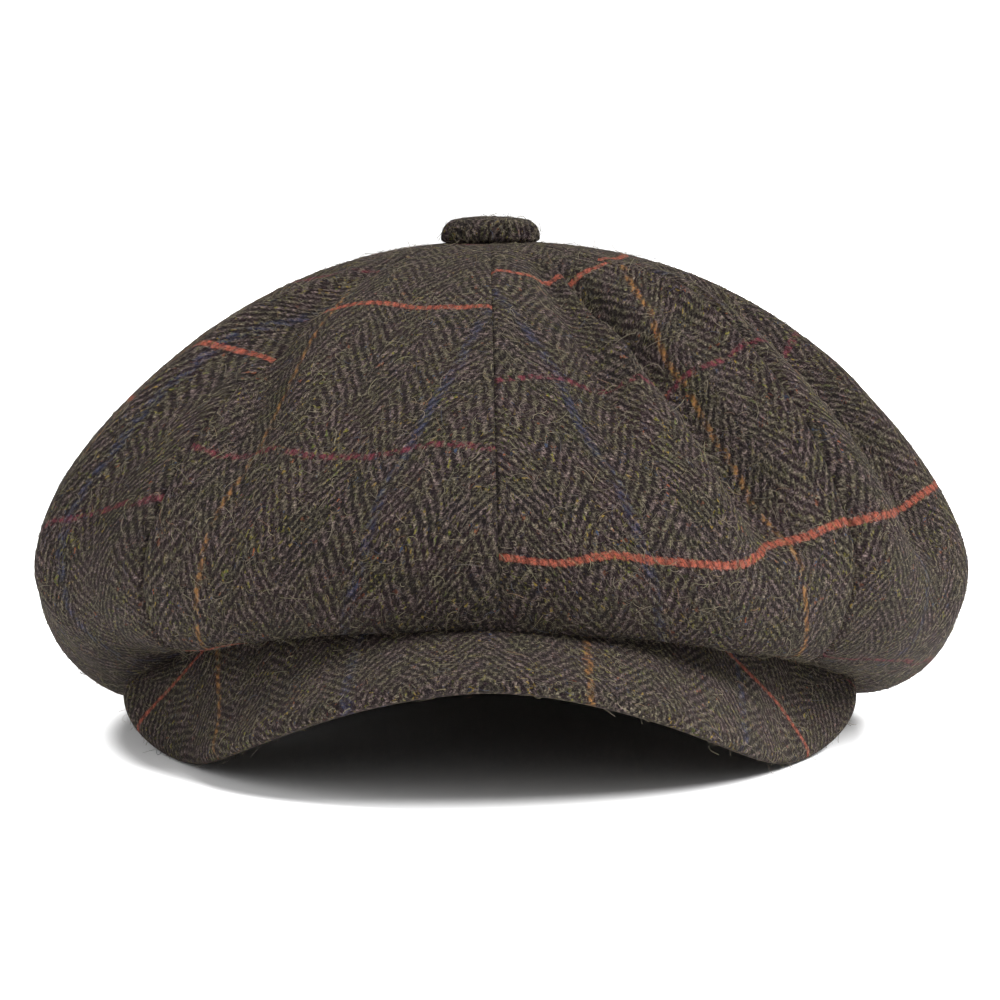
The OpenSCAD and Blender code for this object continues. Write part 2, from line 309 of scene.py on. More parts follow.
def brim_point(m, angle, share):
    """A straight slope from the sewn edge to the rim, plus half a sine of bow at right angles to it."""
    angle, share = np.broadcast_arrays(angle, share)
    out = oval_out(m, angle)
    slope = BRIM_SLOPE[0] + (BRIM_SLOPE[1] - BRIM_SLOPE[0]) * droop(angle)
    whole = brim_reach(m, angle)
    bow = BRIM_BOW * droop(angle) * dsin(180 * share) * whole / m.brim_length
    flat = (share * whole * dcos(slope) + bow * dsin(slope))[..., None]
    sewn = at(angle, oval(m, angle, m.layers), edge_z(m, angle))
    height = -share * whole * dsin(slope) + bow * dcos(slope)
    return sewn + np.concatenate([out * flat, height[..., None]], -1)


def brim_up(m, angle, share):
    """Upward direction of the brim: the cross product of its two slopes."""
    step, mid = 0.5, np.maximum(share, 0.1)
    along = brim_point(m, angle, mid + 0.05) - brim_point(m, angle, mid - 0.05)
    across = brim_point(m, angle + step, mid) - brim_point(m, angle - step, mid)
    return unit(np.cross(along, across))


def core_left(m, share):
    """How much of the board's thickness is left towards the rim."""
    return np.clip((1 - share) * m.brim_length / RIM_INSET, 0, 1)


# ---- How the soft crown has settled ----

# Ripples: how often each wave goes round, how fast it turns along the roll, and its share
RIPPLES = ((3, 2.1, 1.0), (5, 1.3, 0.8), (9, 1.2, 0.75), (14, 1.7, 0.6), (23, 2.2, 0.4), (31, 5.0, 0.2))


def ripples(angle, roll, seed, size):
    """Low uneven waves in the cloth: a sum of sines around and along, with seeded phases."""
    rng = np.random.default_rng(seed)
    total = np.zeros(np.broadcast(angle, roll).shape)
    for around_count, along_count, share in RIPPLES:
        turn, slide = rng.uniform(0, 360, 2)
        total = total + share * dsin(around_count * angle + turn) * dsin(along_count * roll + slide)
    return size * total * smooth(5, 40, roll)


# Folds that run down from the button: angle from the front at six rolls, half widths before and
# after the middle, height, and the rolls where each starts, is full, starts to fade and ends
FOLD_ROLLS = (15, 35, 55, 75, 95, 130)
FOLDS = (
    ((19, 18, 17.5, 17, 16, 15), 4.5, 5.5, -2.6, (12, 30, 52, 82)),
    ((24, 25, 22, 20, 20, 20), 3.0, 1.6, 1.6, (10, 24, 48, 66)),
    ((26, 26.5, 31, 34, 35, 36), 3.0, 5.6, -5.4, (12, 34, 70, 98)),
    ((44, 46, 48, 51, 52, 53), 5.0, 6.5, 3.4, (16, 36, 80, 130)),
    ((72, 69, 62, 62, 64, 66), 4.0, 5.5, -4.4, (18, 36, 70, 96)),
    ((78, 74, 69, 71, 73, 74), 5.0, 6.0, 1.8, (30, 50, 90, 140)),
    ((-50, -48, -38, -36, -35, -34), 5.0, 6.0, -2.2, (14, 30, 60, 90)),
    ((-54, -55, -61, -65, -67, -68), 5.5, 4.5, 4.0, (16, 40, 80, 140)),
    ((-60, -62, -69, -74, -76, -78), 5.0, 6.0, -3.2, (20, 45, 75, 110)),
    ((-25, -25, -24, -22, -21, -20), 6.0, 7.0, -1.2, (30, 60, 90, 130)),
    ((-112, -110, -108, -107, -106, -105), 6.0, 6.0, -2.8, (18, 40, 70, 110)),
    ((-150, -150, -148, -146, -145, -144), 5.0, 6.5, -3.0, (16, 36, 66, 100)),
    ((-163, -162, -160, -160, -160, -160), 5.0, 5.0, 2.0, (20, 40, 80, 130)),
    ((110, 112, 114, 116, 118, 120), 5.5, 6.0, -2.8, (18, 38, 72, 110)),
    ((124, 126, 128, 130, 131, 132), 6.0, 6.0, 2.2, (20, 40, 90, 140)),
    ((152, 153, 155, 157, 158, 159), 5.0, 6.0, -3.2, (16, 34, 66, 96)),
)


def turned(angle):
    """An angle brought to between -180 and 180."""
    return (angle + 180) % 360 - 180


def folds(m, angle, roll):
    """Height of the folds: bell curves across, uneven to either side, that fade in and out along."""
    total = np.zeros(np.broadcast(angle, roll).shape)
    for middle, before, after, height, (start, full, fade, end) in FOLDS:
        off = turned(angle - np.interp(roll, FOLD_ROLLS, middle))
        width = np.where(off < 0, before, after)
        total = total + height * bell(off, width) * smooth(start, full, roll) * (1 - smooth(fade, end, roll))
    return m.fold_depth * total


# Where the low edge hangs lower or higher than even: angle from the front, half width, height
HANGS = ((38, 24, -4.0), (0, 20, -1.0), (-32, 14, -1.2), (-62, 9, 3.0), (-88, 12, -3.5), (92, 12, -1.5))


def hang(angle, roll):
    """How far the low edge hangs lower or higher than even: a sum of bell curves round the crown,
    faded in and out along the roll."""
    low = smooth(95, 165, roll) * (1 - smooth(190, 262, roll))
    return low * sum(height * bell(turned(angle - middle), width) for middle, width, height in HANGS)


def slump(angle, roll):
    """How the whole crown has slumped, as three products of bell curves: fuller low at both sides
    and high on the wearer's left, slimmer high on the wearer's right."""
    return (2.4 * bell(np.abs(turned(angle)) - 92, 38) * bell(roll - 124, 26)
            - 2.2 * bell(turned(angle + 75), 34) * bell(roll - 48, 20)
            + 2.6 * bell(turned(angle - 75), 34) * bell(roll - 30, 18))


def settled(m, points, normals, angle, roll, share=1.0):
    """The even surface with its folds and ripples along its normals, leaned to the wearer's left,
    and its low edge let down."""
    creases = folds(m, angle, roll) + ripples(angle, roll, SEEDS["ripples"], 0.8)
    height = share * creases + slump(angle, roll)
    moved = points + height[..., None] * normals
    lean = LEAN * np.maximum(dsin(np.minimum(roll, CROWN_ROLL) * 180 / CROWN_ROLL), 0) ** 1.5
    moved[..., 0] += lean
    moved[..., 2] += hang(angle, roll) * share
    return moved


def placed(m, points):
    """From millimetres about the opening's middle to metres where the frame stands. A height z
    below 1 mm becomes e to the power z - 1, so that nothing reaches through the floor."""
    points = points + np.array([0, m.centre_y, m.lift])
    z = points[..., 2]
    points[..., 2] = np.where(z < 1, np.exp(np.minimum(z - 1, 0)), z)
    return points * MM


# ---- Meshes ----

def signed_volume(points, faces):
    """A sixth of the sum of each fan triangle's triple product, about the middle of the points."""
    p = points - points.mean(0)
    total = 0.0
    for f in faces:
        for k in range(1, f.shape[1] - 1):
            total += np.einsum("ij,ij->", p[f[:, 0]], np.cross(p[f[:, k]], p[f[:, k + 1]]))
    return total / 6


def finish_mesh(name, points, faces, maps=None):
    """A smooth shaded object from points, a list of face arrays, and UV maps given per corner. The
    faces are turned round if the signed volume that they close is negative."""
    mesh = bpy.data.meshes.new(name)
    points = np.asarray(points, float).reshape(-1, 3)
    if signed_volume(points, faces) < 0:
        order, first = [], 0
        for f in faces:
            order.append((first + np.arange(f.size).reshape(f.shape))[:, ::-1].ravel())
            first += f.size
        order = np.concatenate(order)
        faces = [f[:, ::-1] for f in faces]
        maps = {k: np.asarray(v)[order] for k, v in (maps or {}).items()}
    corners = np.concatenate([f.ravel() for f in faces])
    sizes = np.concatenate([np.full(len(f), f.shape[1]) for f in faces])
    mesh.vertices.add(len(points))
    mesh.vertices.foreach_set("co", np.asarray(points, np.float32).ravel())
    mesh.loops.add(len(corners))
    mesh.loops.foreach_set("vertex_index", corners.astype(np.int32))
    mesh.polygons.add(len(sizes))
    starts = np.concatenate([[0], np.cumsum(sizes)[:-1]])
    mesh.polygons.foreach_set("loop_start", starts.astype(np.int32))
    mesh.polygons.foreach_set("loop_total", sizes.astype(np.int32))
    mesh.update(calc_edges=True)
    for label, values in (maps or {}).items():
        layer = mesh.uv_layers.new(name=label)
        layer.uv.foreach_set("vector", np.asarray(values, np.float32).ravel())
    mesh.polygons.foreach_set("use_smooth", np.ones(len(sizes), bool))
    mesh.validate()
    piece = bpy.data.objects.new(name, mesh)
    bpy.context.scene.collection.objects.link(piece)
    return piece


def grid_faces(rows, columns, start=0, flip=False, wrap_rows=False, wrap_columns=False):
    """Quads of a grid of rows by columns, and the same corners before they wrap round."""
    i = np.arange(rows if wrap_rows else rows - 1)[:, None]
    j = np.arange(columns if wrap_columns else columns - 1)[None, :]
    steps = ((0, 0), (0, 1), (1, 1), (1, 0)) if flip else ((0, 0), (1, 0), (1, 1), (0, 1))
    raw = np.stack([np.stack(np.broadcast_arrays(i + a, j + b), -1) for a, b in steps], 2)
    index = start + (raw[..., 0] % rows) * columns + raw[..., 1] % columns
    return index.reshape(-1, 4), raw.reshape(-1, 4, 2)


def edge_loop(rows, columns):
    """Indices round the edge of a grid, one way round."""
    grid = np.arange(rows * columns).reshape(rows, columns)
    return np.concatenate([grid[:-1, 0], grid[-1, :-1], grid[:0:-1, -1], grid[0, :0:-1]])


def shell(name, outer, inner, maps):
    """A closed sheet between two grids of one size; maps are grids of UV values for both."""
    rows, columns = outer.shape[:2]
    count = rows * columns
    top, _ = grid_faces(rows, columns)
    under, _ = grid_faces(rows, columns, count, flip=True)
    loop = edge_loop(rows, columns)
    after = np.roll(loop, -1)
    rim = np.stack([after, loop, loop + count, after + count], 1)
    faces = [top, under, rim]
    corners = np.concatenate([f.ravel() for f in faces]) % count
    values = {k: v.reshape(-1, 2)[corners] for k, v in maps.items()}
    points = np.concatenate([outer.reshape(-1, 3), inner.reshape(-1, 3)])
    return finish_mesh(name, points, faces, values)


def ring_solid(name, grid, maps=None):
    """A solid from a profile carried round: a grid of places round by points of a closed profile.
    maps are grids with one more row and column, for the corners that wrap."""
    rows, columns = grid.shape[:2]
    faces, raw = grid_faces(rows, columns, wrap_rows=True, wrap_columns=True)
    values = {k: v[raw[..., 0], raw[..., 1]].reshape(-1, 2) for k, v in (maps or {}).items()}
    return finish_mesh(name, grid.reshape(-1, 3), [faces], values)


def dome_solid(name, grid, maps):
    """A solid of revolution whose profile starts and ends on its axis: a grid of places round by
    profile points, closed with one point at each pole."""
    rows, columns = grid.shape[:2]
    faces, _ = grid_faces(rows, columns, wrap_rows=True)
    count = rows * columns
    here = np.arange(rows) * columns
    after = np.roll(here, -1)
    first = np.stack([np.full(rows, count), here, after], 1)[:, ::-1]
    last = np.stack([np.full(rows, count + 1), here + columns - 1, after + columns - 1], 1)
    poles = np.stack([grid[:, 0].mean(0), grid[:, -1].mean(0)])
    points = np.concatenate([grid.reshape(-1, 3), poles])
    all_faces = [faces, first, last]
    corners = np.concatenate([f.ravel() for f in all_faces])
    values = {}
    for label, uv in maps.items():
        ends = np.stack([uv[:, 0].mean(0), uv[:, -1].mean(0)])
        values[label] = np.concatenate([uv.reshape(-1, 2), ends])[corners]
    return finish_mesh(name, points, all_faces, values)


def tubes(name, paths, radius, sides, lean, maps=None):
    """Closed tubes along many paths at once: at each path point a ring of points stands square to
    the path, one side of it turned towards the lean direction, and both ends are capped."""
    count, steps = paths.shape[:2]
    along = unit(np.gradient(paths, axis=1))
    side = unit(np.cross(along, lean[:, None, :]))
    up = np.cross(side, along)
    turn = 2 * np.pi * np.arange(sides) / sides
    r = np.broadcast_to(np.asarray(radius, float).reshape(-1, 1, 1, 1), (count, steps, 1, 1))
    ring = np.cos(turn)[:, None] * side[:, :, None] + np.sin(turn)[:, None] * up[:, :, None]
    rings = paths[:, :, None] + r * ring
    faces, _ = grid_faces(steps, sides, wrap_columns=True)
    base = (np.arange(count) * steps * sides)[:, None, None]
    quads = (faces[None] + base).reshape(-1, 4)
    cap = np.arange(sides)
    start = (cap[None, None, :] + base).reshape(-1, sides)
    end = (cap[::-1][None, None, :] + (steps - 1) * sides + base).reshape(-1, sides)
    all_faces = [quads, start, end]
    values = {}
    if maps is not None:
        per_point = np.repeat(maps.reshape(count, 1, 2), steps * sides, 1).reshape(-1, 2)
        values["cloth"] = per_point[np.concatenate([f.ravel() for f in all_faces])]
    return finish_mesh(name, rings.reshape(-1, 3), all_faces, values)


# ---- Materials ----

class CapCloth(bpy.types.PropertyGroup):
    """Sizes and colours of the cloth"""

    column: bpy.props.FloatProperty(
        name="Herringbone column", description="Width of one slanting column of the weave",
        default=0.0105, unit="LENGTH")
    pitch: bpy.props.FloatProperty(
        name="Twill pitch", description="Distance between two light ribs, measured up the cloth",
        default=0.0043, unit="LENGTH")
    slant: bpy.props.FloatProperty(
        name="Twill slant", description="Angle of the ribs to the width of the cloth",
        default=math.radians(59), subtype="ANGLE")
    dark: bpy.props.FloatVectorProperty(
        name="Dark yarn", description="Colour of the dark ribs", size=3,
        default=(0.0058, 0.0043, 0.0052), subtype="COLOR", min=0, max=1)
    light: bpy.props.FloatVectorProperty(
        name="Light yarn", description="Colour of the light ribs", size=3,
        default=(0.058, 0.0490, 0.0420), subtype="COLOR", min=0, max=1)
    fibre: bpy.props.FloatVectorProperty(
        name="Loose fibre", description="Colour of the fine loose fibres", size=3,
        default=(0.25, 0.205, 0.15), subtype="COLOR", min=0, max=1)
    satin: bpy.props.FloatVectorProperty(
        name="Lining", description="Colour of the satin lining", size=3,
        default=(0.035, 0.018, 0.010), subtype="COLOR", min=0, max=1)
    twill: bpy.props.FloatVectorProperty(
        name="Sweatband", description="Colour of the sweatband", size=3,
        default=(0.010, 0.010, 0.012), subtype="COLOR", min=0, max=1)


# Coloured stripes: colour, 0 down the cloth or 1 across it, place in the repeat, half width, strength
STRIPE_REPEAT = (96, 116)
STRIPES = {
    "Blue": ((0.022, 0.038, 0.105), 0, -24, 1.35, 0.50),
    "Orange": ((0.34, 0.155, 0.045), 0, 24, 0.8, 0.78),
    "Red": ((0.40, 0.098, 0.060), 1, 50, 1.05, 1.0),
    "Crimson": ((0.200, 0.033, 0.052), 1, 108, 0.95, 0.85),
}
YARN = 0.75  # width of one yarn
FLOAT = 2.6  # length over which a coloured yarn dips under and comes up again
# Heather: where each colour of fleck starts on the scale of chance, and the colour
HEATHER = ((0.0, (0.20, 0.18, 0.03)), (0.34, (0.09, 0.12, 0.02)), (0.48, (0.30, 0.20, 0.03)),
           (0.60, (0.03, 0.06, 0.12)), (0.74, (0.28, 0.08, 0.03)))


def shades(colour, *shares):
    """The colour made darker or lighter by each share."""
    return [tuple(k * c for c in colour) for k in shares]


class Net:
    """Short calls that add nodes to a tree and join them."""

    def __init__(self, tree):
        self.tree = tree

    def put(self, socket, value):
        """Joins a socket to another, or sets its own value."""
        if isinstance(value, bpy.types.NodeSocket):
            self.tree.links.new(value, socket)
        elif hasattr(value, "__len__") and len(value) == 3 and socket.type == "RGBA":
            socket.default_value = (*value, 1)
        else:
            socket.default_value = value

    def node(self, kind, settings=None, **inputs):
        """A node with its settings and inputs."""
        made = self.tree.nodes.new(kind)
        for k, v in (settings or {}).items():
            setattr(made, k, v)
        self.fill(made, **inputs)
        return made

    def fill(self, made, **inputs):
        """Joins or sets a node's inputs by name, with _ for a space."""
        for k, v in inputs.items():
            self.put(made.inputs[k.replace("_", " ")], v)

    def math(self, operation, *values, clamp=False):
        """A sum on numbers."""
        made = self.tree.nodes.new("ShaderNodeMath")
        made.operation, made.use_clamp = operation, clamp
        for socket, value in zip(made.inputs, values):
            self.put(socket, value)
        return made.outputs[0]

    def vector(self, operation, a, b=None, scale=None):
        """A sum on places."""
        made = self.tree.nodes.new("ShaderNodeVectorMath")
        made.operation = operation
        self.put(made.inputs[0], a)
        if b is not None:
            self.put(made.inputs[1], b)
        if scale is not None:
            self.put(made.inputs["Scale"], scale)
        return made.outputs["Value" if operation == "LENGTH" else 0]

    def mix(self, share, a, b, blend="MIX"):
        """From the first colour to the second by a share."""
        made = self.tree.nodes.new("ShaderNodeMix")
        made.data_type, made.blend_type = "RGBA", blend
        for socket, value in zip((made.inputs[0], made.inputs[6], made.inputs[7]), (share, a, b)):
            self.put(socket, value)
        return made.outputs[2]

    def times(self, a, b):
        """One colour times another."""
        return self.mix(1.0, a, b, "MULTIPLY")

    def bump(self, height, strength, depth):
        """The normal of a relief that is depth millimetres high."""
        made = self.node("ShaderNodeBump", Strength=strength, Distance=depth * MM, Height=height)
        return made.outputs[0]

    def span(self, value, low, high, to_low=0.0, to_high=1.0, smooth=True):
        """A value brought from one range to another, and held at its ends."""
        made = self.tree.nodes.new("ShaderNodeMapRange")
        made.interpolation_type = "SMOOTHSTEP" if smooth else "LINEAR"
        for socket, v in zip(made.inputs, (value, low, high, to_low, to_high)):
            self.put(socket, v)
        return made.outputs[0]

    def noise(self, where, scale, detail=2.0, rough=0.5, kind="Fac"):
        """Soft random changes over the cloth."""
        made = self.node("ShaderNodeTexNoise", Vector=where, Scale=scale, Detail=detail, Roughness=rough)
        return made.outputs[kind]

    def ramp(self, value, stops, interpolation="LINEAR"):
        """A colour for each value, from a list of places and colours."""
        made = self.node("ShaderNodeValToRGB", Fac=value)
        made.color_ramp.interpolation = interpolation
        while len(made.color_ramp.elements) < len(stops):
            made.color_ramp.elements.new(1)
        for element, (place, colour) in zip(made.color_ramp.elements, stops):
            element.position, element.color = place, (*colour, 1)
        return made.outputs[0]


def group_tree(name, takes, gives):
    """A shader node group with the named inputs (name, kind, default) and outputs (name, kind)."""
    tree = bpy.data.node_groups.new(name, "ShaderNodeTree")
    for label, kind, default in takes:
        socket = tree.interface.new_socket(name=label, in_out="INPUT", socket_type=kind)
        if default is not None:
            socket.default_value = (*default, 1) if kind == "NodeSocketColor" else default
    for label, kind in gives:
        tree.interface.new_socket(name=label, in_out="OUTPUT", socket_type=kind)
    return tree, Net(tree), tree.nodes.new("NodeGroupInput").outputs, tree.nodes.new("NodeGroupOutput").inputs


def stripe_mask(net, value, repeat, middle, half, rag):
    """1 on a yarn at the middle of each repeat, with a ragged edge."""
    wrapped = net.math("WRAP", net.math("SUBTRACT", value, middle), repeat / 2, -repeat / 2)
    off = net.math("ABSOLUTE", wrapped)
    return net.span(net.math("ADD", off, rag), half + 0.35, half - 0.35)


def tweed_group(cloth):
    """Herringbone tweed from cloth coordinates in millimetres: slanting ribs that turn back at each
    column, broken by half a pitch, over yarns; heather specks; and the coloured stripes."""
    takes = [("Cloth", "NodeSocketVector", None), ("Check", "NodeSocketVector", None),
             ("Dark", "NodeSocketColor", None), ("Light", "NodeSocketColor", None),
             ("Stripes", "NodeSocketFloat", 1.0), ("Heather", "NodeSocketFloat", 1.0)]
    gives = [("Color", "NodeSocketColor"), ("Height", "NodeSocketFloat"), ("Roughness", "NodeSocketFloat")]
    tree, net, taken, given = group_tree("herringbone tweed", takes, gives)
    flat = taken["Cloth"]
    slow = net.noise(flat, 0.035, 2, 0.5, "Color")
    quick = net.noise(flat, 0.42, 3, 0.6, "Color")
    wave = net.vector("SCALE", net.vector("SUBTRACT", slow, (0.5, 0.5, 0.5)), scale=9.0)
    fray = net.vector("SCALE", net.vector("SUBTRACT", quick, (0.5, 0.5, 0.5)), scale=2.3)
    moved = net.vector("ADD", net.vector("ADD", flat, wave), fray)
    across, along, _ = net.node("ShaderNodeSeparateXYZ", Vector=moved).outputs
    column, pitch = cloth.column / MM, cloth.pitch / MM
    yarn = net.math("MULTIPLY", net.math("FLOOR", net.math("DIVIDE", across, YARN)), YARN)
    stepped = net.math("ADD", net.math("MULTIPLY", yarn, 0.55), net.math("MULTIPLY", across, 0.45))
    zigzag = net.math("PINGPONG", stepped, column)
    number = net.math("FLOOR", net.math("DIVIDE", stepped, column))
    flip = net.math("MULTIPLY", net.math("FLOORED_MODULO", number, 2.0), 0.5)
    climb = net.math("MULTIPLY_ADD", zigzag, math.tan(cloth.slant), along)
    phase = net.math("ADD", net.math("DIVIDE", climb, pitch), flip)
    wavy = net.math("SINE", net.math("MULTIPLY", phase, 2 * math.pi))
    rib = net.span(wavy, -0.50, 0.80)
    # Yarn to yarn changes of shade, drawn out along the ribs
    shade = net.noise(net.vector("MULTIPLY", flat, (1.35, 0.45, 1)), 1.0, 3, 0.62)
    speckle = net.noise(net.vector("MULTIPLY", flat, (2.3, 1.5, 1)), 1.0, 4, 0.72)
    broad = net.noise(flat, 0.055, 3, 0.55)
    patch = net.noise(flat, 0.13, 3, 0.6)
    warm = net.times(taken["Dark"], (1.8, 1.2, 1.4))
    dark = net.mix(net.span(broad, 0.35, 0.65), taken["Dark"], warm)
    olive = net.times(taken["Light"], (0.97, 0.99, 0.80))
    rosy = net.times(taken["Light"], (1.08, 0.93, 1.04))
    light = net.mix(net.span(patch, 0.40, 0.60), olive, rosy)
    dim, lit = net.times(light, (0.36, 0.36, 0.37)), net.times(light, (1.85, 1.85, 1.8))
    light = net.mix(net.span(shade, 0.34, 0.66), dim, lit)
    dark = net.mix(net.span(shade, 0.45, 0.70), dark, net.times(light, (0.42, 0.42, 0.42)))
    loose = net.math("SUBTRACT", speckle, 0.54)
    rib_soft = net.math("MULTIPLY_ADD", loose, 2.6, net.math("MULTIPLY", rib, 0.9), clamp=True)
    base = net.mix(rib_soft, dark, light)
    # Single fibres: short bright and dark strokes that cross the yarns
    stroke = net.noise(net.vector("MULTIPLY", moved, (0.9, 2.2, 1)), 1.0, 4, 0.75)
    bright = net.math("POWER", net.span(stroke, 0.36, 0.66, smooth=False), 2.5)
    ground = net.span(speckle, 0.38, 0.62, 0.12, 1.10, smooth=False)
    fine = net.math("MULTIPLY_ADD", bright, 3.2, ground)
    grey = net.node("ShaderNodeCombineColor", Red=fine, Green=fine, Blue=fine).outputs[0]
    base = net.times(base, grey)
    # Heather: small flecks of brighter wool
    fleck_place = net.vector("MULTIPLY", moved, (1.5, 0.75, 1))
    fleck = net.span(net.noise(fleck_place, 0.85, 1.5, 0.5), 0.60, 0.68)
    stops = [((p - 0.5) * 0.45 + 0.52, c) for p, c in HEATHER]
    hue = net.ramp(net.noise(flat, 0.21, 1, 0.5), stops, "CONSTANT")
    few = net.span(net.noise(flat, 0.05, 1, 0.5), 0.38, 0.62, 0.25, 0.85)
    fleck = net.math("MULTIPLY", net.math("MULTIPLY", fleck, few), net.math("MULTIPLY_ADD", rib, 0.6, 0.4))
    colour = net.mix(net.math("MULTIPLY", fleck, taken["Heather"], clamp=True), base, hue)
    # Coloured stripes: single yarns that dip under the ribs
    check = net.vector("ADD", taken["Check"], net.vector("SCALE", fray, scale=0.45))
    u, v, _ = net.node("ShaderNodeSeparateXYZ", Vector=check).outputs
    rag = net.math("MULTIPLY", net.math("SUBTRACT", net.noise(flat, 1.1, 3, 0.7), 0.5), 2.4)
    shown = net.span(net.noise(net.vector("MULTIPLY", flat, (0.5, 0.5, 1)), 0.62, 3, 0.7), 0.40, 0.58)
    dashes = net.span(wavy, -0.6, 0.6, 0.25, 1.0)
    dips = net.math("SINE", net.math("MULTIPLY", across, 2 * math.pi / FLOAT))
    floats = net.span(dips, -0.9, 0.3, 0.42, 1.0)
    floats = net.math("MULTIPLY", floats, net.span(speckle, 0.38, 0.56, 0.25, 1.0))
    thread = net.math("MULTIPLY", shown, dashes)
    parts = {"Blue": thread, "Orange": thread, "Red": floats, "Crimson": net.math("MULTIPLY", floats, shown)}
    for label, (tone, way, middle, half, strength) in STRIPES.items():
        mask = stripe_mask(net, (u, v)[way], STRIPE_REPEAT[way], middle, half, rag)
        part = net.math("MULTIPLY", parts[label], taken["Stripes"])
        mask = net.math("MULTIPLY", net.math("MULTIPLY", mask, part), strength)
        colour = net.mix(mask, colour, net.mix(net.span(shade, 0.3, 0.7), *shades(tone, 0.6, 1.25)))
    net.put(given["Color"], colour)
    # Relief: ribs, the yarns in them, and wool fuzz
    strand = net.math("ABSOLUTE", net.math("SINE", net.math("MULTIPLY", across, math.pi / YARN)))
    height = net.math("MULTIPLY_ADD", strand, 0.12, net.math("MULTIPLY", rib, 0.45))
    for part, share in ((speckle, 1.0), (stroke, 0.9), (net.noise(flat, 0.5, 3, 0.65), 0.8)):
        height = net.math("MULTIPLY_ADD", part, share, height)
    net.put(given["Height"], height)
    net.put(given["Roughness"], net.span(shade, 0.3, 0.7, 0.86, 0.99))
    return tree


def weave_group():
    """Fine plain or twill weave from flat coordinates in millimetres: two crossed sets of yarns."""
    takes = [("Cloth", "NodeSocketVector", None), ("Yarn", "NodeSocketFloat", 0.5),
             ("Slant", "NodeSocketFloat", 1.0)]
    gives = [("Rib", "NodeSocketFloat"), ("Cloud", "NodeSocketFloat")]
    tree, net, taken, given = group_tree("fine weave", takes, gives)
    u, v, _ = net.node("ShaderNodeSeparateXYZ", Vector=taken["Cloth"]).outputs
    turns = net.math("DIVIDE", net.math("MULTIPLY_ADD", u, taken["Slant"], v), taken["Yarn"])
    rib = net.math("MULTIPLY_ADD", net.math("SINE", net.math("MULTIPLY", turns, 2 * math.pi)), 0.5, 0.5)
    cross = net.math("SINE", net.math("MULTIPLY", net.math("DIVIDE", u, taken["Yarn"]), 2 * math.pi))
    net.put(given["Rib"], net.math("MULTIPLY_ADD", cross, 0.15, rib))
    net.put(given["Cloud"], net.noise(taken["Cloth"], 0.12, 4, 0.6))
    return tree


def new_material(name):
    """A material with an empty tree, its shader and the net that joins nodes to it."""
    material = bpy.data.materials.new(name)
    material.use_nodes = True
    material.node_tree.nodes.clear()
    net = Net(material.node_tree)
    shader = net.node("ShaderNodeBsdfPrincipled")
    out = net.node("ShaderNodeOutputMaterial")
    material.node_tree.links.new(shader.outputs[0], out.inputs["Surface"])
    return material, net, shader


def uv_mm(net, label):
    """A UV map of flat metres, in millimetres."""
    uv = net.node("ShaderNodeUVMap", {"uv_map": label}).outputs[0]
    return net.vector("SCALE", uv, scale=1 / MM)


def object_mm(net):
    """Object coordinates in millimetres."""
    return net.vector("SCALE", net.node("ShaderNodeTexCoord").outputs["Object"], scale=1 / MM)


def named_group(name, build):
    """The node group of this name, built the first time that it is asked for."""
    return bpy.data.node_groups.get(name) or build()


def tweed_material(context, name, check=True):
    """Wool tweed: the herringbone group for colour and relief, with a soft sheen."""
    if name in bpy.data.materials:
        return bpy.data.materials[name]
    cloth = context.scene.cap_cloth
    material, net, shader = new_material(name)
    tweed = net.node("ShaderNodeGroup")
    tweed.node_tree = named_group("herringbone tweed", lambda: tweed_group(cloth))
    net.fill(tweed, Cloth=uv_mm(net, "weave"), Check=uv_mm(net, "check"), Dark=tuple(cloth.dark),
             Light=tuple(cloth.light), Stripes=1.0 if check else 0.0, Heather=1.0)
    net.fill(shader, Base_Color=tweed.outputs["Color"], Roughness=tweed.outputs["Roughness"],
             Normal=net.bump(tweed.outputs["Height"], 1.0, 1.1), Specular_IOR_Level=0.06,
             Sheen_Weight=0.055, Sheen_Roughness=0.4, Sheen_Tint=(0.86, 0.75, 0.64))
    return material


def fibre_material(context):
    """Loose wool: each fibre takes its shade from where it lies on the cloth."""
    if "wool fibres" in bpy.data.materials:
        return bpy.data.materials["wool fibres"]
    material, net, shader = new_material("wool fibres")
    place = uv_mm(net, "cloth")
    shade = net.noise(place, 0.9, 2, 0.6)
    tint = net.noise(place, 0.37, 1, 0.5)
    base = tuple(context.scene.cap_cloth.fibre)
    stops = [(0.30, (0.05, 0.06, 0.10)), (0.40, *shades(base, 0.55)), (0.5, base),
             (0.60, (0.24, 0.22, 0.12)), (0.70, (0.22, 0.12, 0.07))]
    colour = net.mix(net.span(shade, 0.35, 0.65), (0.35, 0.35, 0.35), (1.0, 1.0, 1.0))
    net.fill(shader, Base_Color=net.times(net.ramp(tint, stops), colour),
             Roughness=net.span(shade, 0.3, 0.7, 0.6, 0.85), Specular_IOR_Level=0.3)
    return material


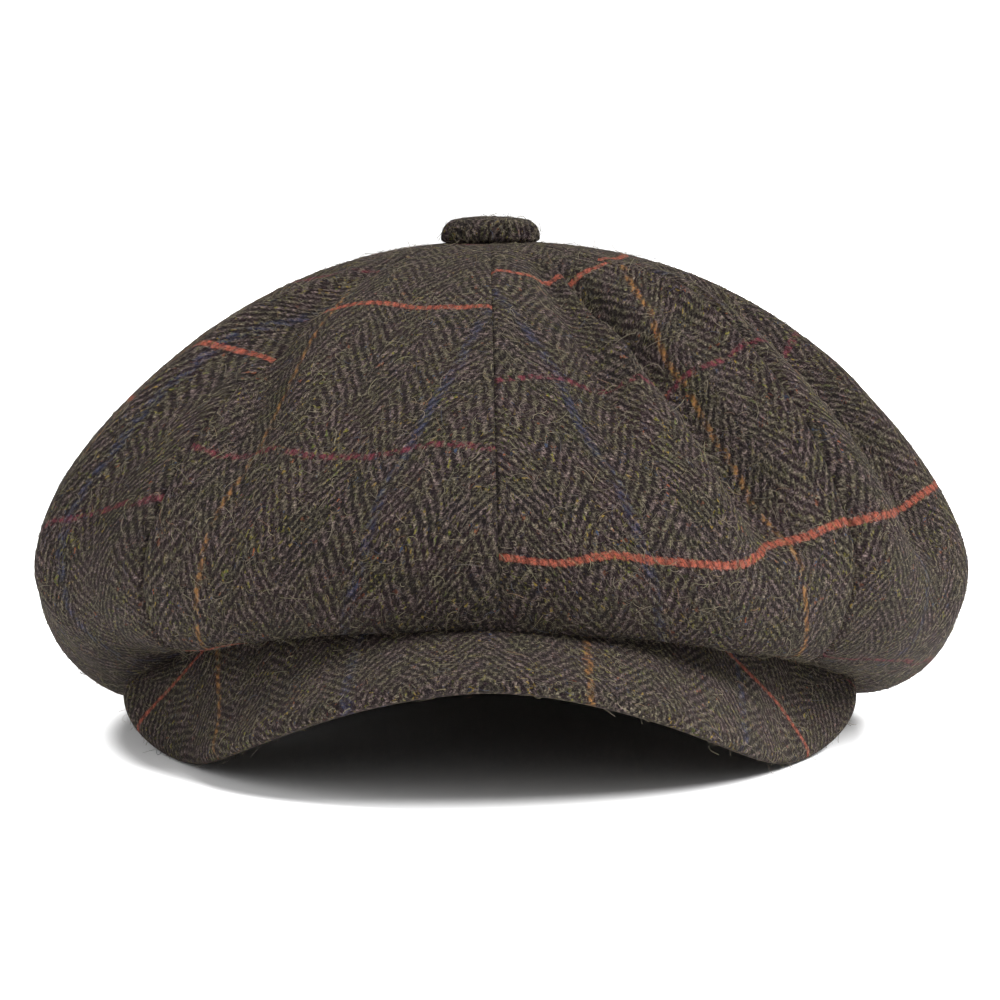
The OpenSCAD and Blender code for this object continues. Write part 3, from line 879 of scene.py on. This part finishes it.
def woven_material(name, colour, yarn, slant, depth, rough, uv="weave", sheen=0.0, gloss=0.3):
    """Fine woven cloth or tape: ribs for relief and a cloudy change of shade."""
    if name in bpy.data.materials:
        return bpy.data.materials[name]
    material, net, shader = new_material(name)
    where = uv_mm(net, uv) if uv else object_mm(net)
    weave = net.node("ShaderNodeGroup")
    weave.node_tree = named_group("fine weave", weave_group)
    net.fill(weave, Cloth=where, Yarn=yarn, Slant=slant)
    rib, cloud = weave.outputs["Rib"], weave.outputs["Cloud"]
    cloudy = net.math("MULTIPLY", net.span(cloud, 0.3, 0.7), 0.55)
    tone = net.math("ADD", net.math("MULTIPLY", rib, 0.45), cloudy, clamp=True)
    net.fill(shader, Base_Color=net.mix(tone, *shades(colour, 0.65, 1.35)),
             Roughness=net.span(cloud, 0.3, 0.7, rough - 0.06, rough + 0.06),
             Normal=net.bump(rib, 0.6, depth), Specular_IOR_Level=gloss, Sheen_Weight=sheen)
    return material


def metal_material(name, colour, rough):
    """Pressed steel with fine turned lines and a few dull patches."""
    if name in bpy.data.materials:
        return bpy.data.materials[name]
    material, net, shader = new_material(name)
    place = object_mm(net)
    cloud = net.noise(place, 0.35, 4, 0.6)
    grain = net.noise(net.vector("MULTIPLY", place, (1, 1, 9)), 1.2, 3, 0.6)
    net.fill(shader, Base_Color=net.mix(net.span(cloud, 0.35, 0.65), *shades(colour, 0.8, 1.1)),
             Roughness=net.span(grain, 0.3, 0.7, rough - 0.08, rough + 0.12), Metallic=1.0,
             Normal=net.bump(grain, 0.25, 0.1))
    return material


def board_material(name, colour):
    """Pressed fibre board: flecked, dull and slightly rough."""
    if name in bpy.data.materials:
        return bpy.data.materials[name]
    material, net, shader = new_material(name)
    place = object_mm(net)
    fleck = net.noise(net.vector("MULTIPLY", place, (0.5, 2.0, 1.0)), 0.9, 5, 0.7)
    net.fill(shader, Base_Color=net.mix(net.span(fleck, 0.3, 0.7), *shades(colour, 0.75, 1.15)),
             Roughness=net.span(fleck, 0.3, 0.7, 0.75, 0.92), Normal=net.bump(fleck, 0.4, 0.2))
    return material


# ---- Gores ----

ACROSS, ALONG = 61, 151  # points across a gore and along it
CHECK_SHIFT = {"front": (0, -23), "temple": (0, -41), "ear": (-18, 9), "back": (-31, 21)}
LOW_DRAG, DRAG_FROM = {"temple": (0, 0.4)}, 150
# Where the cross threads of each gore start to rise, and how far they do, left and right
LAG = {"front": (0, 13, 5), "temple": (-53, 9, -17), "ear": (-53, 6, 8), "back": (-53, 5, -6)}


def gore_start(number, side):
    """Angle at which a gore starts, counted away from the front on its own side."""
    return number * GORE_ANGLE if side == "left" else -(number + 1) * GORE_ANGLE


def even_rolls(m, point, last, count):
    """Rolls that stand an even distance apart along the crown at its side."""
    fine = np.linspace(0, last, 1500)
    run = run_along(point(m, np.full_like(fine, 1.5 * GORE_ANGLE), fine))
    return np.interp(np.linspace(0, run[-1], count), run, fine)


def gore_grids(m, number, side, lined=False):
    """A gore's outer and inner grids and its flat coordinates. The flat place of a point is a polar
    one near the button: s along the middle line, and s times the sine of its share of W over 2 s
    to the side, where W is the gore's width there."""
    point, last = (lining_point, LINING_ROLL) if lined else (crown_point, CROWN_ROLL)
    even = np.linspace(0, 1, ACROSS)
    share = 0.55 * even + 0.45 * (1 - np.cos(np.pi * even)) / 2
    f, roll = np.meshgrid(share, even_rolls(m, point, last, ALONG), indexing="ij")
    angle = swung(m, gore_start(number, side) + GORE_ANGLE * f, roll)
    puff = m.gore_puff * (1 - np.abs(2 * f - 1) ** 2.2) * (0.45 + 0.55 * smooth(60, 140, np.abs(angle)))
    base, out = point(m, angle, roll, puff), outward(m, point, angle, roll, last)
    if lined:
        outer = settled(m, base, out, angle, roll, 1 - smooth(95, 150, roll))
        outer = outer + lining_puckers(angle, roll)[..., None] * out
    else:
        outer = settled(m, base, out, angle, roll)
    s = run_along(outer[ACROSS // 2]) + TIP_RADIUS
    steps = np.linalg.norm(np.diff(outer, axis=0), axis=2)
    width = steps.sum(0)
    place = np.concatenate([np.zeros((1, ALONG)), np.cumsum(steps, 0)]) / width
    seam = np.minimum(place, 1 - place) * width
    dip = (-0.75 * bell(seam, 0.8) + 0.22 * bell(seam - 4.0, 2.5)) * smooth(6, 30, width)
    outer = outer + (0.5 if lined else 1.0) * dip[..., None] * out
    inner = outer - (m.satin if lined else m.tweed) * out
    sign = 1 if side == "left" else -1
    f2 = (2 * place - 1) * sign
    half = np.minimum(width / (2 * s), 0.45)
    u, v = s * np.sin(f2 * half), s - 0.08 * s * np.exp(-((s / 70) ** 2)) * f2**2
    area = (np.diff(s) * (width[1:] + width[:-1]) / 2).sum()
    return SimpleNamespace(outer=outer, inner=inner, out=out, u=u, v=v,
                           width=width.max(), length=s[-1] - s[0], area=area)


def lining_puckers(angle, roll):
    """Small upright pleats where the lining is eased into the sweatband, and faint creases above."""
    pleats = 0.55 * dsin(40 * angle + 25 * dsin(3 * angle))
    pleats = pleats * smooth(135, 172, roll) * (1 - smooth(174, 180, roll))
    return pleats + ripples(angle, roll, SEEDS["puckers"], 0.45) * (1 - smooth(150, 180, roll))


def flat_maps(u, v, check_u, check_v):
    """The cloth's two maps in metres: one for the weave and one for its coloured check."""
    return {"weave": np.stack([u, v], -1) * MM, "check": np.stack([check_u, check_v], -1) * MM}


def grain(u, v, gore, k):
    """The grain leans outwards down the gore, and its cross threads rise to the side."""
    lean = -5 * smooth(0, 95, v) + 18 * np.clip((v - 95) / 85, 0, 1.4) ** 1.4
    start, *rise = LAG[gore]
    lift = rise[k] * np.clip((u - start) / 50, 0, 1.4) ** 1.2
    return u - (lean if gore == "front" else 0.4 * lean), v + lift


def stripe_waves(u, v, seed):
    """A slow wave across the cloth that the coloured stripes follow."""
    turns = np.random.default_rng(seed).uniform(0, 6.28, 4)
    return (1.1 * np.sin(u / 8.5 + turns[0]) + 0.6 * np.sin(u / 4.1 + v / 30 + turns[1]),
            0.5 * np.sin(v / 9.0 + turns[2]) + 0.35 * np.sin(v / 4.7 + turns[3]))


def take(obj, material, slot, *nodes):
    """Gives a piece its material; when CAD nodes are given, rides it on the cap and lets it stand for them.
    slot is not used.
    """
    obj.data.materials.clear()
    obj.data.materials.append(material)
    if nodes:
        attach(obj, "root")
        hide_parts(*nodes)
    return obj


def cell_sides(points):
    """The two sides of each cell of a grid; the length of their cross product is its area."""
    return np.diff(points, axis=0)[:, :-1], np.diff(points, axis=1)[:-1]


def sample_grid(rng, points, out, u, v, count):
    """Places scattered evenly over a grid's area: each falls in a cell by its share of the area."""
    a, b = cell_sides(points)
    weight = np.linalg.norm(np.cross(a, b), axis=-1).ravel()
    cell = rng.choice(weight.size, count, p=weight / weight.sum())
    i, j = np.unravel_index(cell, a.shape[:2])
    s, t = rng.random((2, count, 1))

    def blend(grid):
        return ((1 - s) * (1 - t) * grid[i, j] + s * (1 - t) * grid[i + 1, j]
                + (1 - s) * t * grid[i, j + 1] + s * t * grid[i + 1, j + 1])

    flat = np.stack([u, v], -1)
    return blend(points), unit(blend(out)), unit(a[i, j]), blend(flat)


def fibre_paths(rng, start, out, tangent, lengths, steps=5):
    """Loose fibres: each runs off in a chance direction along the cloth, turning evenly, and lifts
    off it in a low arch or towards its free end."""
    count = len(start)
    t = np.linspace(0, 1, steps)[None, :]
    heading = rng.uniform(0, 2 * np.pi, (count, 1))
    bend = rng.normal(0, 1.5, (count, 1))
    course = heading + bend * (t - 0.5)
    step = lengths[:, None] / (steps - 1)
    run = np.concatenate([np.zeros((count, 1)), np.cumsum(np.cos(course[:, 1:]) * step, 1)], 1)
    drift = np.concatenate([np.zeros((count, 1)), np.cumsum(np.sin(course[:, 1:]) * step, 1)], 1)
    side = np.cross(out, tangent)
    free = rng.random((count, 1)) < 0.4
    lift = np.abs(rng.normal(0, 0.16, (count, 1))) * lengths[:, None]
    rise = 0.06 + np.where(free, lift * t**1.4, 0.8 * lift * np.sin(np.pi * t))
    along = start[:, None] + run[..., None] * tangent[:, None] + drift[..., None] * side[:, None]
    return along + rise[..., None] * out[:, None]


def fibre_piece(context, m, name, seed, grid, count):
    """The loose fibres on one piece of cloth, as a piece of their own that goes with it."""
    rng = np.random.default_rng(seed)
    start, out, tangent, flat = sample_grid(rng, grid.outer, grid.out, grid.u, grid.v, count)
    lengths = np.clip(rng.lognormal(1.0, 0.45, count), 1.2, 8.5)
    paths = fibre_paths(rng, start, out, tangent, lengths)
    radius = 0.026 + 0.06 * rng.random(count) ** 2
    lean = unit(out + 0.3 * rng.normal(size=out.shape))
    piece = tubes(name, placed(m, paths), radius * MM, 3, lean, flat * MM)
    take(piece, fibre_material(context), "tweed")
    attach(piece, "root")
    return piece


class CAP_OT_crown(bpy.types.Operator):
    """Build the eight tweed gores of the crown with their folds, seams and loose fibres"""

    bl_idname = "cap.crown"
    bl_label = "Crown gores"

    def execute(self, context):
        m = measures(context)
        material = tweed_material(context, "herringbone wool tweed")
        for number, gore in enumerate(GORES):
            for k, side in enumerate(SIDES):
                name = f"crown_{gore}_{side}"
                grid = gore_grids(m, number, side)
                u, v = grain(grid.u, grid.v, gore, k)
                wave_v, wave_u = stripe_waves(u, v, SEEDS["gore stripes"] + 2 * number + k)
                drag = LOW_DRAG.get(gore, (0, 0))[k] * np.maximum(v - DRAG_FROM, 0)
                check_v = v + CHECK_SHIFT[gore][k] - drag
                maps = flat_maps(u + 37 * number, v, u + wave_u, check_v + wave_v)
                piece = shell(f"tweed_{name}", placed(m, grid.outer), placed(m, grid.inner), maps)
                take(piece, material, "tweed", name)
                seed = SEEDS["gore fibres"] + 2 * number + k
                fuzz = fibre_piece(context, m, f"fibres_{name}", seed, grid, GORE_FIBRES)
        return {"FINISHED"}


class CAP_OT_lining(bpy.types.Operator):
    """Build the eight satin gores of the lining, eased into the sweatband"""

    bl_idname = "cap.lining"
    bl_label = "Lining gores"

    def execute(self, context):
        m = measures(context)
        colour = tuple(context.scene.cap_cloth.satin)
        material = woven_material("lining satin", colour, 0.4, 0.3, 0.05, 0.36, sheen=0.1, gloss=0.5)
        for number, gore in enumerate(GORES):
            for side in SIDES:
                name = f"lining_{gore}_{side}"
                grid = gore_grids(m, number, side, lined=True)
                maps = {"weave": np.stack([grid.u, grid.v], -1) * MM}
                piece = shell(f"satin_{name}", placed(m, grid.outer), placed(m, grid.inner), maps)
                take(piece, material, "satin", name)
        return {"FINISHED"}


# ---- Head opening ----

class CAP_OT_band(bpy.types.Operator):
    """Build the sweatband and its row of stitches, and finish the tape behind it"""

    bl_idname = "cap.band"
    bl_label = "Sweatband"

    def execute(self, context):
        m = measures(context)
        cloth = context.scene.cap_cloth
        turns, edge = 240, 0.45
        low, high = -BAND_UNDER, m.band_height - BAND_UNDER
        corner = np.radians(np.linspace(0, 90, 5))
        rise = np.linspace(low + edge, high - edge, 17)[1:-1]
        arcs = []
        for (x, z), first in (((m.band_wall - edge, low + edge), -90), ((m.band_wall - edge, high - edge), 0),
                              ((edge, high - edge), 90), ((edge, low + edge), 180)):
            turn = np.radians(first) + corner
            arcs.append(np.stack([x + edge * np.cos(turn), z + edge * np.sin(turn)], -1))
        up = np.stack([np.full_like(rise, m.band_wall), rise], -1)
        down = np.stack([np.zeros_like(rise), rise[::-1]], -1)
        profile = np.concatenate([arcs[0], up, arcs[1], arcs[2], down, arcs[3]])
        angle = np.linspace(0, 360, turns, endpoint=False)[:, None]
        soft = 0.35 * dsin(7 * angle + 20) + 0.2 * dsin(19 * angle)
        lift = np.clip((profile[:, 1] - low) / m.band_height, 0, 1) ** 1.5
        offset = profile[:, 0] + soft * lift
        points = at(angle, oval(m, angle, offset), edge_z(m, angle) + profile[:, 1])
        run = np.linspace(0, BAND_RUN, turns + 1)[:, None]
        around_profile = run_along(np.vstack([profile, profile[:1]]))
        maps = {"weave": np.stack(np.broadcast_arrays(run, around_profile[None, :]), -1) * MM}
        band = ring_solid("twill_sweatband", placed(m, points), maps)
        twill = woven_material("sweatband twill", tuple(cloth.twill), 1.1, 1.0, 0.18, 0.82, sheen=0.1)
        take(band, twill, "twill", "sweatband")
        # Stitches: short arches of thread over the band's inner face
        count, steps, length = 60, 7, 4.2
        middle = 360 * (np.arange(count) + 0.5) / count
        share = np.linspace(-0.5, 0.5, steps)
        spread = np.degrees(length / oval(m, middle, 0))
        place = middle[:, None] + spread[:, None] * share
        sink = -0.12 - 0.42 * np.cos(np.pi * share) ** 0.7 * np.ones((count, 1))
        paths = at(place, oval(m, place, sink), edge_z(m, place) + 0.15 * np.sin(5 * middle)[:, None])
        up = np.tile([0.0, 0, 1], (count, 1))
        thread = tubes("thread_sweatband_stitches", placed(m, paths), 0.32 * MM, 6, up)
        cotton = woven_material("stitching thread", *shades(cloth.twill, 1.6), 0.35, 1.2, 0.08, 0.6,
                                uv=None, gloss=0.4)
        take(thread, cotton, "thread", "sweatband_stitches")
        tape = woven_material("petersham tape", (0.30, 0.28, 0.24), 0.9, 0.0, 0.12, 0.8, uv=None)
        take(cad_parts["head_tape"], tape, "tape")
        return {"FINISHED"}


# ---- Brim ----

def brim_grids(m, side):
    """One brim cover. Its outer face stands a wall and the board's half thickness off the brim's
    middle layer, and closes on it at the rim in a quarter ellipse; side is 1 on top, -1 below."""
    place = np.linspace(-1, 1, 181)
    angles = BRIM_HALF * (place + dsin(90 * place)) / 2
    turn = np.linspace(0, 90, 12)[1:]
    near_rim = 1 - COVER_ROUND / m.brim_length * (1 - dsin(turn))
    shares = np.concatenate([np.linspace(0, near_rim[0], 40)[:-1], near_rim])
    angle, share = np.meshgrid(angles, shares, indexing="ij")
    mid, up = brim_point(m, angle, share), brim_up(m, angle, share)
    left = (1 - share) * m.brim_length
    swell = np.sqrt(np.clip(1 - (np.maximum(COVER_ROUND - left, 0) / COVER_ROUND) ** 2, 0.004, 1))
    core = BRIM_CORE * core_left(m, share) * swell
    wave = 0.28 * dsin(5 * angle + 40) * dsin(200 * share) + 0.18 * dsin(11 * angle) * dsin(330 * share + 50)
    wave = wave + 0.12 * dsin(23 * angle + 10) * dsin(420 * share)
    height = side * (core + m.cover_wall * swell) - BRIM_THICK / 2
    outer = mid + (height + (wave if side > 0 else 0.5 * wave) * swell)[..., None] * up
    inner = mid + (side * core * 0.98 - BRIM_THICK / 2)[..., None] * up
    sag = brim_sag(angle, share)
    outer[..., 2] += sag
    inner[..., 2] += sag
    run = run_along(outer[:, 0])
    run = run - np.interp(0, angles, run)
    steps = np.cumsum(np.linalg.norm(np.diff(outer, axis=1), axis=2), 1)
    radius = COVER_ROOT + np.concatenate([np.zeros((len(angles), 1)), steps], 1)
    turned_by = run[:, None] / COVER_ROOT
    u, v = radius * np.sin(turned_by), radius * np.cos(turned_by) - COVER_ROOT
    area = np.linalg.norm(np.cross(*cell_sides(outer)), axis=-1).sum()
    return SimpleNamespace(outer=outer, inner=inner, out=side * up, u=u, v=v,
                           width=np.ptp(u), length=np.ptp(v), area=area)


def brim_sag(angle, share):
    """The brim's middle dips a little towards its rim, and its own sides are not quite alike."""
    middle = -1.2 * bell(angle, 30) * share**2
    left = 0.5 * bell(angle - 45, 20) * share * (1 - share) * 4
    right = 0.5 * bell(angle + 45, 20) * share * (1 - share) * 4
    return middle + left - right


class CAP_OT_brim(bpy.types.Operator):
    """Build the two tweed covers of the brim with their loose fibres, and finish the board between"""

    bl_idname = "cap.brim"
    bl_label = "Brim"

    def execute(self, context):
        m = measures(context)
        material = tweed_material(context, "herringbone wool tweed")
        for label, side, count in zip(("top", "under"), (1, -1), BRIM_FIBRES):
            grid = brim_grids(m, side)
            wave_v, wave_u = stripe_waves(grid.u, grid.v, SEEDS["brim stripes"] + side)
            check_u = np.interp(grid.u, (-150, -35, 25, 74, 150), (-139, -24, 24, 72, 148))
            right = smooth(15, 55, -grid.u)
            check_v = 64 + 30 * right + np.where(grid.v > 0, 0.45 - 0.3 * right, 1) * grid.v
            maps = flat_maps(grid.u + 11, grid.v, check_u + wave_u, check_v + 0.6 * wave_v)
            piece = shell(f"tweed_brim_{label}_cover", placed(m, grid.outer), placed(m, grid.inner), maps)
            take(piece, material, "brim_tweed", f"brim_{label}_cover")
            seed = SEEDS["brim fibres"] + side
            fuzz = fibre_piece(context, m, f"fibres_brim_{label}_cover", seed, grid, count)
        take(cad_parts["brim_board"], board_material("brim board", (0.42, 0.38, 0.30)), "board")
        return {"FINISHED"}


# ---- Button ----

BUTTON_SKIRT = -0.75  # how low the cover's edge reaches
BUTTON_CORNER = 4  # width of the shoulder
BUTTON_CLOTH = 1.4  # thickness of the gathered cloth at the side
BUTTON_GATHERS = 34
FIBRE_ROWS = 40  # points of the outline, from the top, that carry loose fibres


def button_profile(m):
    """The covered button's outline: a low dome, a wide quarter ellipse for its shoulder, the cloth
    drawn in below to a ring, and the hollow inside with a shoulder of its own. It comes with the
    number of its points that are outside."""
    r, h = m.button_diameter / 2, m.button_height
    t = np.linspace(0, 1, 22)
    top = np.stack([(r - 3.5) * t[1:], h - 0.9 * t[1:] ** 2.2], -1)
    turn = np.linspace(82, -60, 20)
    middle, rise, fall = BUTTON_SKIRT + 1.4, h - 0.9 - BUTTON_SKIRT - 1.4, 1.4
    height = middle + dsin(turn) * np.where(turn > 0, rise / dsin(82), fall / dsin(60))
    side = np.stack([r - BUTTON_CORNER + (BUTTON_CORNER + 0.1) * dcos(turn) ** 0.9, height], -1)
    ring = r - BUTTON_CLOTH - 2.2
    under = np.stack([np.linspace(r - 2.5, ring, 6), np.linspace(BUTTON_SKIRT + 0.2, 0.12, 6)], -1)
    back = np.stack([[ring, ring], [0.8, 1.3]], -1)
    bend = np.linspace(0, 80, 9)
    hollow = np.stack([r - BUTTON_CLOTH - 3.4 * (1 - dcos(bend) ** 0.9), 2 + 3.2 * dsin(bend) / dsin(80)], -1)
    ceiling = np.stack([hollow[-1, 0] * t[::-1][1:-1], 5.55 - 0.35 * t[::-1][1:-1] ** 2], -1)
    outline = np.concatenate([top, side, under, back, hollow, ceiling])
    return outline, len(top) + len(side) + len(under)


class CAP_OT_button(bpy.types.Operator):
    """Build the tweed cover of the button with its gathers, and finish the metal parts in it"""

    bl_idname = "cap.button"
    bl_label = "Button"

    def execute(self, context):
        m = measures(context)
        profile, outside_count = button_profile(m)
        turns = 8 * BUTTON_GATHERS
        angle = np.linspace(0, 360, turns, endpoint=False)[:, None]
        r, z = profile[:, 0][None], profile[:, 1][None]
        run = run_along(profile)
        outside = np.arange(len(profile)) < outside_count
        near_side = smooth(0.80, 1.0, r / (m.button_diameter / 2))
        low_side = near_side * smooth(m.button_height, 0.55 * m.button_height, z) * outside
        rib = 0.42 * dsin(BUTTON_GATHERS * angle + 40 * dsin(2 * angle)) + 0.12 * dsin(13 * angle)
        soft = 0.16 * dsin(2 * angle + 30) * (r / 14) + 0.10 * dsin(5 * angle) * (r / 14)
        points = at(angle, r - 0.25 * outside * (r > 12) + rib * low_side, z + soft * outside)
        points[..., 2] += m.crown_height + CLEAR
        u, v = run[None] * dsin(angle), run[None] * dcos(angle)
        maps = flat_maps(u + 5, v, u, v + 75)
        cover = dome_solid("tweed_button_cover", placed(m, points), maps)
        plain = tweed_material(context, "herringbone wool tweed, plain", check=False)
        take(cover, plain, "tweed", "button_cover")
        shown, u, v = points[:, :FIBRE_ROWS], u[:, :FIBRE_ROWS], v[:, :FIBRE_ROWS]
        out = unit(np.cross(np.gradient(shown, axis=1), np.roll(shown, -1, 0) - np.roll(shown, 1, 0)))
        top = SimpleNamespace(outer=shown, out=out * np.sign((out[..., 2:] + 1e-3).mean()), u=u, v=v)
        fibre_piece(context, m, "fibres_button_cover", SEEDS["button fibres"], top, BUTTON_FIBRES)
        steel = metal_material("button steel", (0.56, 0.57, 0.58), 0.38)
        for name in ("button_shell", "button_back", "button_shank", "button_washer"):
            take(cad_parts[name], steel, "button_metal")
        return {"FINISHED"}


# ---- Stage ----

class CapStage(bpy.types.PropertyGroup):
    """The camera's place and the strength of the lights"""

    camera: bpy.props.FloatVectorProperty(
        name="Camera", description="Where the camera stands", size=3,
        default=(0.0029, -1.0046, 0.160), unit="LENGTH")
    pitch: bpy.props.FloatProperty(
        name="Pitch", description="How far the camera looks down",
        default=math.radians(5.31), subtype="ANGLE")
    lens: bpy.props.FloatProperty(
        name="Lens", description="Focal length in millimetres", default=123.84, min=10, max=300)
    sky: bpy.props.FloatProperty(
        name="Sky light", description="Strength of the even light from all round", default=0.34, min=0)
    key: bpy.props.FloatProperty(
        name="Key light", description="Strength of the soft light from the upper right", default=6.2, min=0)
    fill: bpy.props.FloatProperty(
        name="Front light", description="Strength of the soft light from the front right",
        default=0.30, min=0)
    side: bpy.props.FloatProperty(
        name="Side light", description="Strength of the soft light from the left", default=1.5, min=0)


FLOOR_HALF = 6.0  # half the floor's side, in metres
GLOW_OVAL = (106, 138)  # half width and half depth of the oval inside which the floor gives off no painted light of its own
BACKDROP = 1.2  # brightness at which the camera sees the background


def soft_sun(name, strength, tilt, compass, spread):
    """A broad soft lamp: tilt is its angle from overhead, compass its angle from the front."""
    light = bpy.data.lights.new(name, "SUN")
    light.energy, light.angle = strength, math.radians(spread)
    lamp = bpy.data.objects.new(name, light)
    lamp.rotation_euler = (math.radians(tilt), 0, math.radians(compass))
    bpy.context.scene.collection.objects.link(lamp)
    return lamp


class CAP_OT_stage(bpy.types.Operator):
    """Lay the pale floor, which gives off painted light of its own outside an oval round the cap, set the
    soft lights and stand the camera
    """

    bl_idname = "cap.stage"
    bl_label = "Stage"

    def execute(self, context):
        stage = context.scene.cap_stage
        count = 9
        line = np.linspace(-FLOOR_HALF, FLOOR_HALF, count)
        x, y = np.meshgrid(line, line, indexing="ij")
        faces, _ = grid_faces(count, count)
        floor = finish_mesh("floor", np.stack([x, y, np.zeros_like(x)], -1).reshape(-1, 3), [faces])
        material, net, shader = new_material("pale floor")
        cloud = net.noise(object_mm(net), 0.004, 2, 0.5)
        # Outside an oval round the cap the floor gives off white light of its own, at full strength,
        # which covers the outer part of the shadow
        scale = (1 / GLOW_OVAL[0], 1 / GLOW_OVAL[1], 0)
        reach = net.vector("LENGTH", net.vector("MULTIPLY", object_mm(net), scale))
        glow = net.span(reach, 1.0, 1.10)
        net.fill(shader, Base_Color=net.mix(cloud, (0.88, 0.88, 0.885), (0.90, 0.90, 0.90)),
                 Roughness=0.9, Specular_IOR_Level=0.1,
                 Emission_Color=net.mix(glow, (0, 0, 0), (1, 1, 1)), Emission_Strength=1.0)
        floor.data.materials.append(material)
        world = bpy.data.worlds.new("studio")
        context.scene.world = world
        world.use_nodes = True
        world.node_tree.nodes.clear()
        net = Net(world.node_tree)
        # The camera sees the background brighter than the light that it gives
        seen = net.node("ShaderNodeLightPath").outputs["Is Camera Ray"]
        strength = net.math("ADD", net.math("MULTIPLY", seen, BACKDROP - stage.sky), stage.sky)
        sky = net.node("ShaderNodeBackground", Color=(1, 1, 1), Strength=strength)
        world.node_tree.links.new(sky.outputs[0], net.node("ShaderNodeOutputWorld").inputs["Surface"])
        soft_sun("key light", stage.key, 42, 72, 36)
        soft_sun("front light", stage.fill, 62, 30, 50)
        soft_sun("side light", stage.side, 66, -84, 60)
        camera = bpy.data.objects.new("camera", bpy.data.cameras.new("camera"))
        camera.data.lens, camera.data.sensor_width = stage.lens, 36
        camera.data.clip_start, camera.data.clip_end = 0.01, 50
        camera.location = stage.camera
        camera.rotation_euler = (math.pi / 2 - stage.pitch, 0, 0)
        context.scene.collection.objects.link(camera)
        context.scene.camera = camera
        context.scene.view_settings.view_transform = "Standard"
        return {"FINISHED"}


class CAP_PT_panel(bpy.types.Panel):
    """Lists the cap's sizes, cloth and lights, and the pieces to build"""

    bl_idname = "CAP_PT_panel"
    bl_label = "Newsboy Cap"
    bl_space_type = "VIEW_3D"
    bl_region_type = "UI"
    bl_category = "Cap"

    def draw(self, context):
        for group in (context.scene.cap_sizes, context.scene.cap_cloth, context.scene.cap_stage):
            box = self.layout.box()
            for name in type(group).__annotations__:
                box.prop(group, name)
        for operator in OPERATORS:
            self.layout.operator(operator.bl_idname)


OPERATORS = (CAP_OT_crown, CAP_OT_lining, CAP_OT_band, CAP_OT_brim, CAP_OT_button, CAP_OT_stage)
CLASSES = (CapSizes, CapCloth, CapStage, *OPERATORS, CAP_PT_panel)


def register():
    """Registers the classes, and puts the cap's values on the scene."""
    for cls in CLASSES:
        bpy.utils.register_class(cls)
    bpy.types.Scene.cap_sizes = bpy.props.PointerProperty(type=CapSizes)
    bpy.types.Scene.cap_cloth = bpy.props.PointerProperty(type=CapCloth)
    bpy.types.Scene.cap_stage = bpy.props.PointerProperty(type=CapStage)


def unregister():
    """Takes the cap's values off the scene, and the classes away."""
    for name in ("cap_stage", "cap_cloth", "cap_sizes"):
        delattr(bpy.types.Scene, name)
    for cls in reversed(CLASSES):
        bpy.utils.unregister_class(cls)


def main():
    """Builds every piece and the stage."""
    register()
    bpy.ops.cap.crown()
    bpy.ops.cap.lining()
    bpy.ops.cap.band()
    bpy.ops.cap.brim()
    bpy.ops.cap.button()
    bpy.ops.cap.stage()


if __name__ == "__main__":
    main()
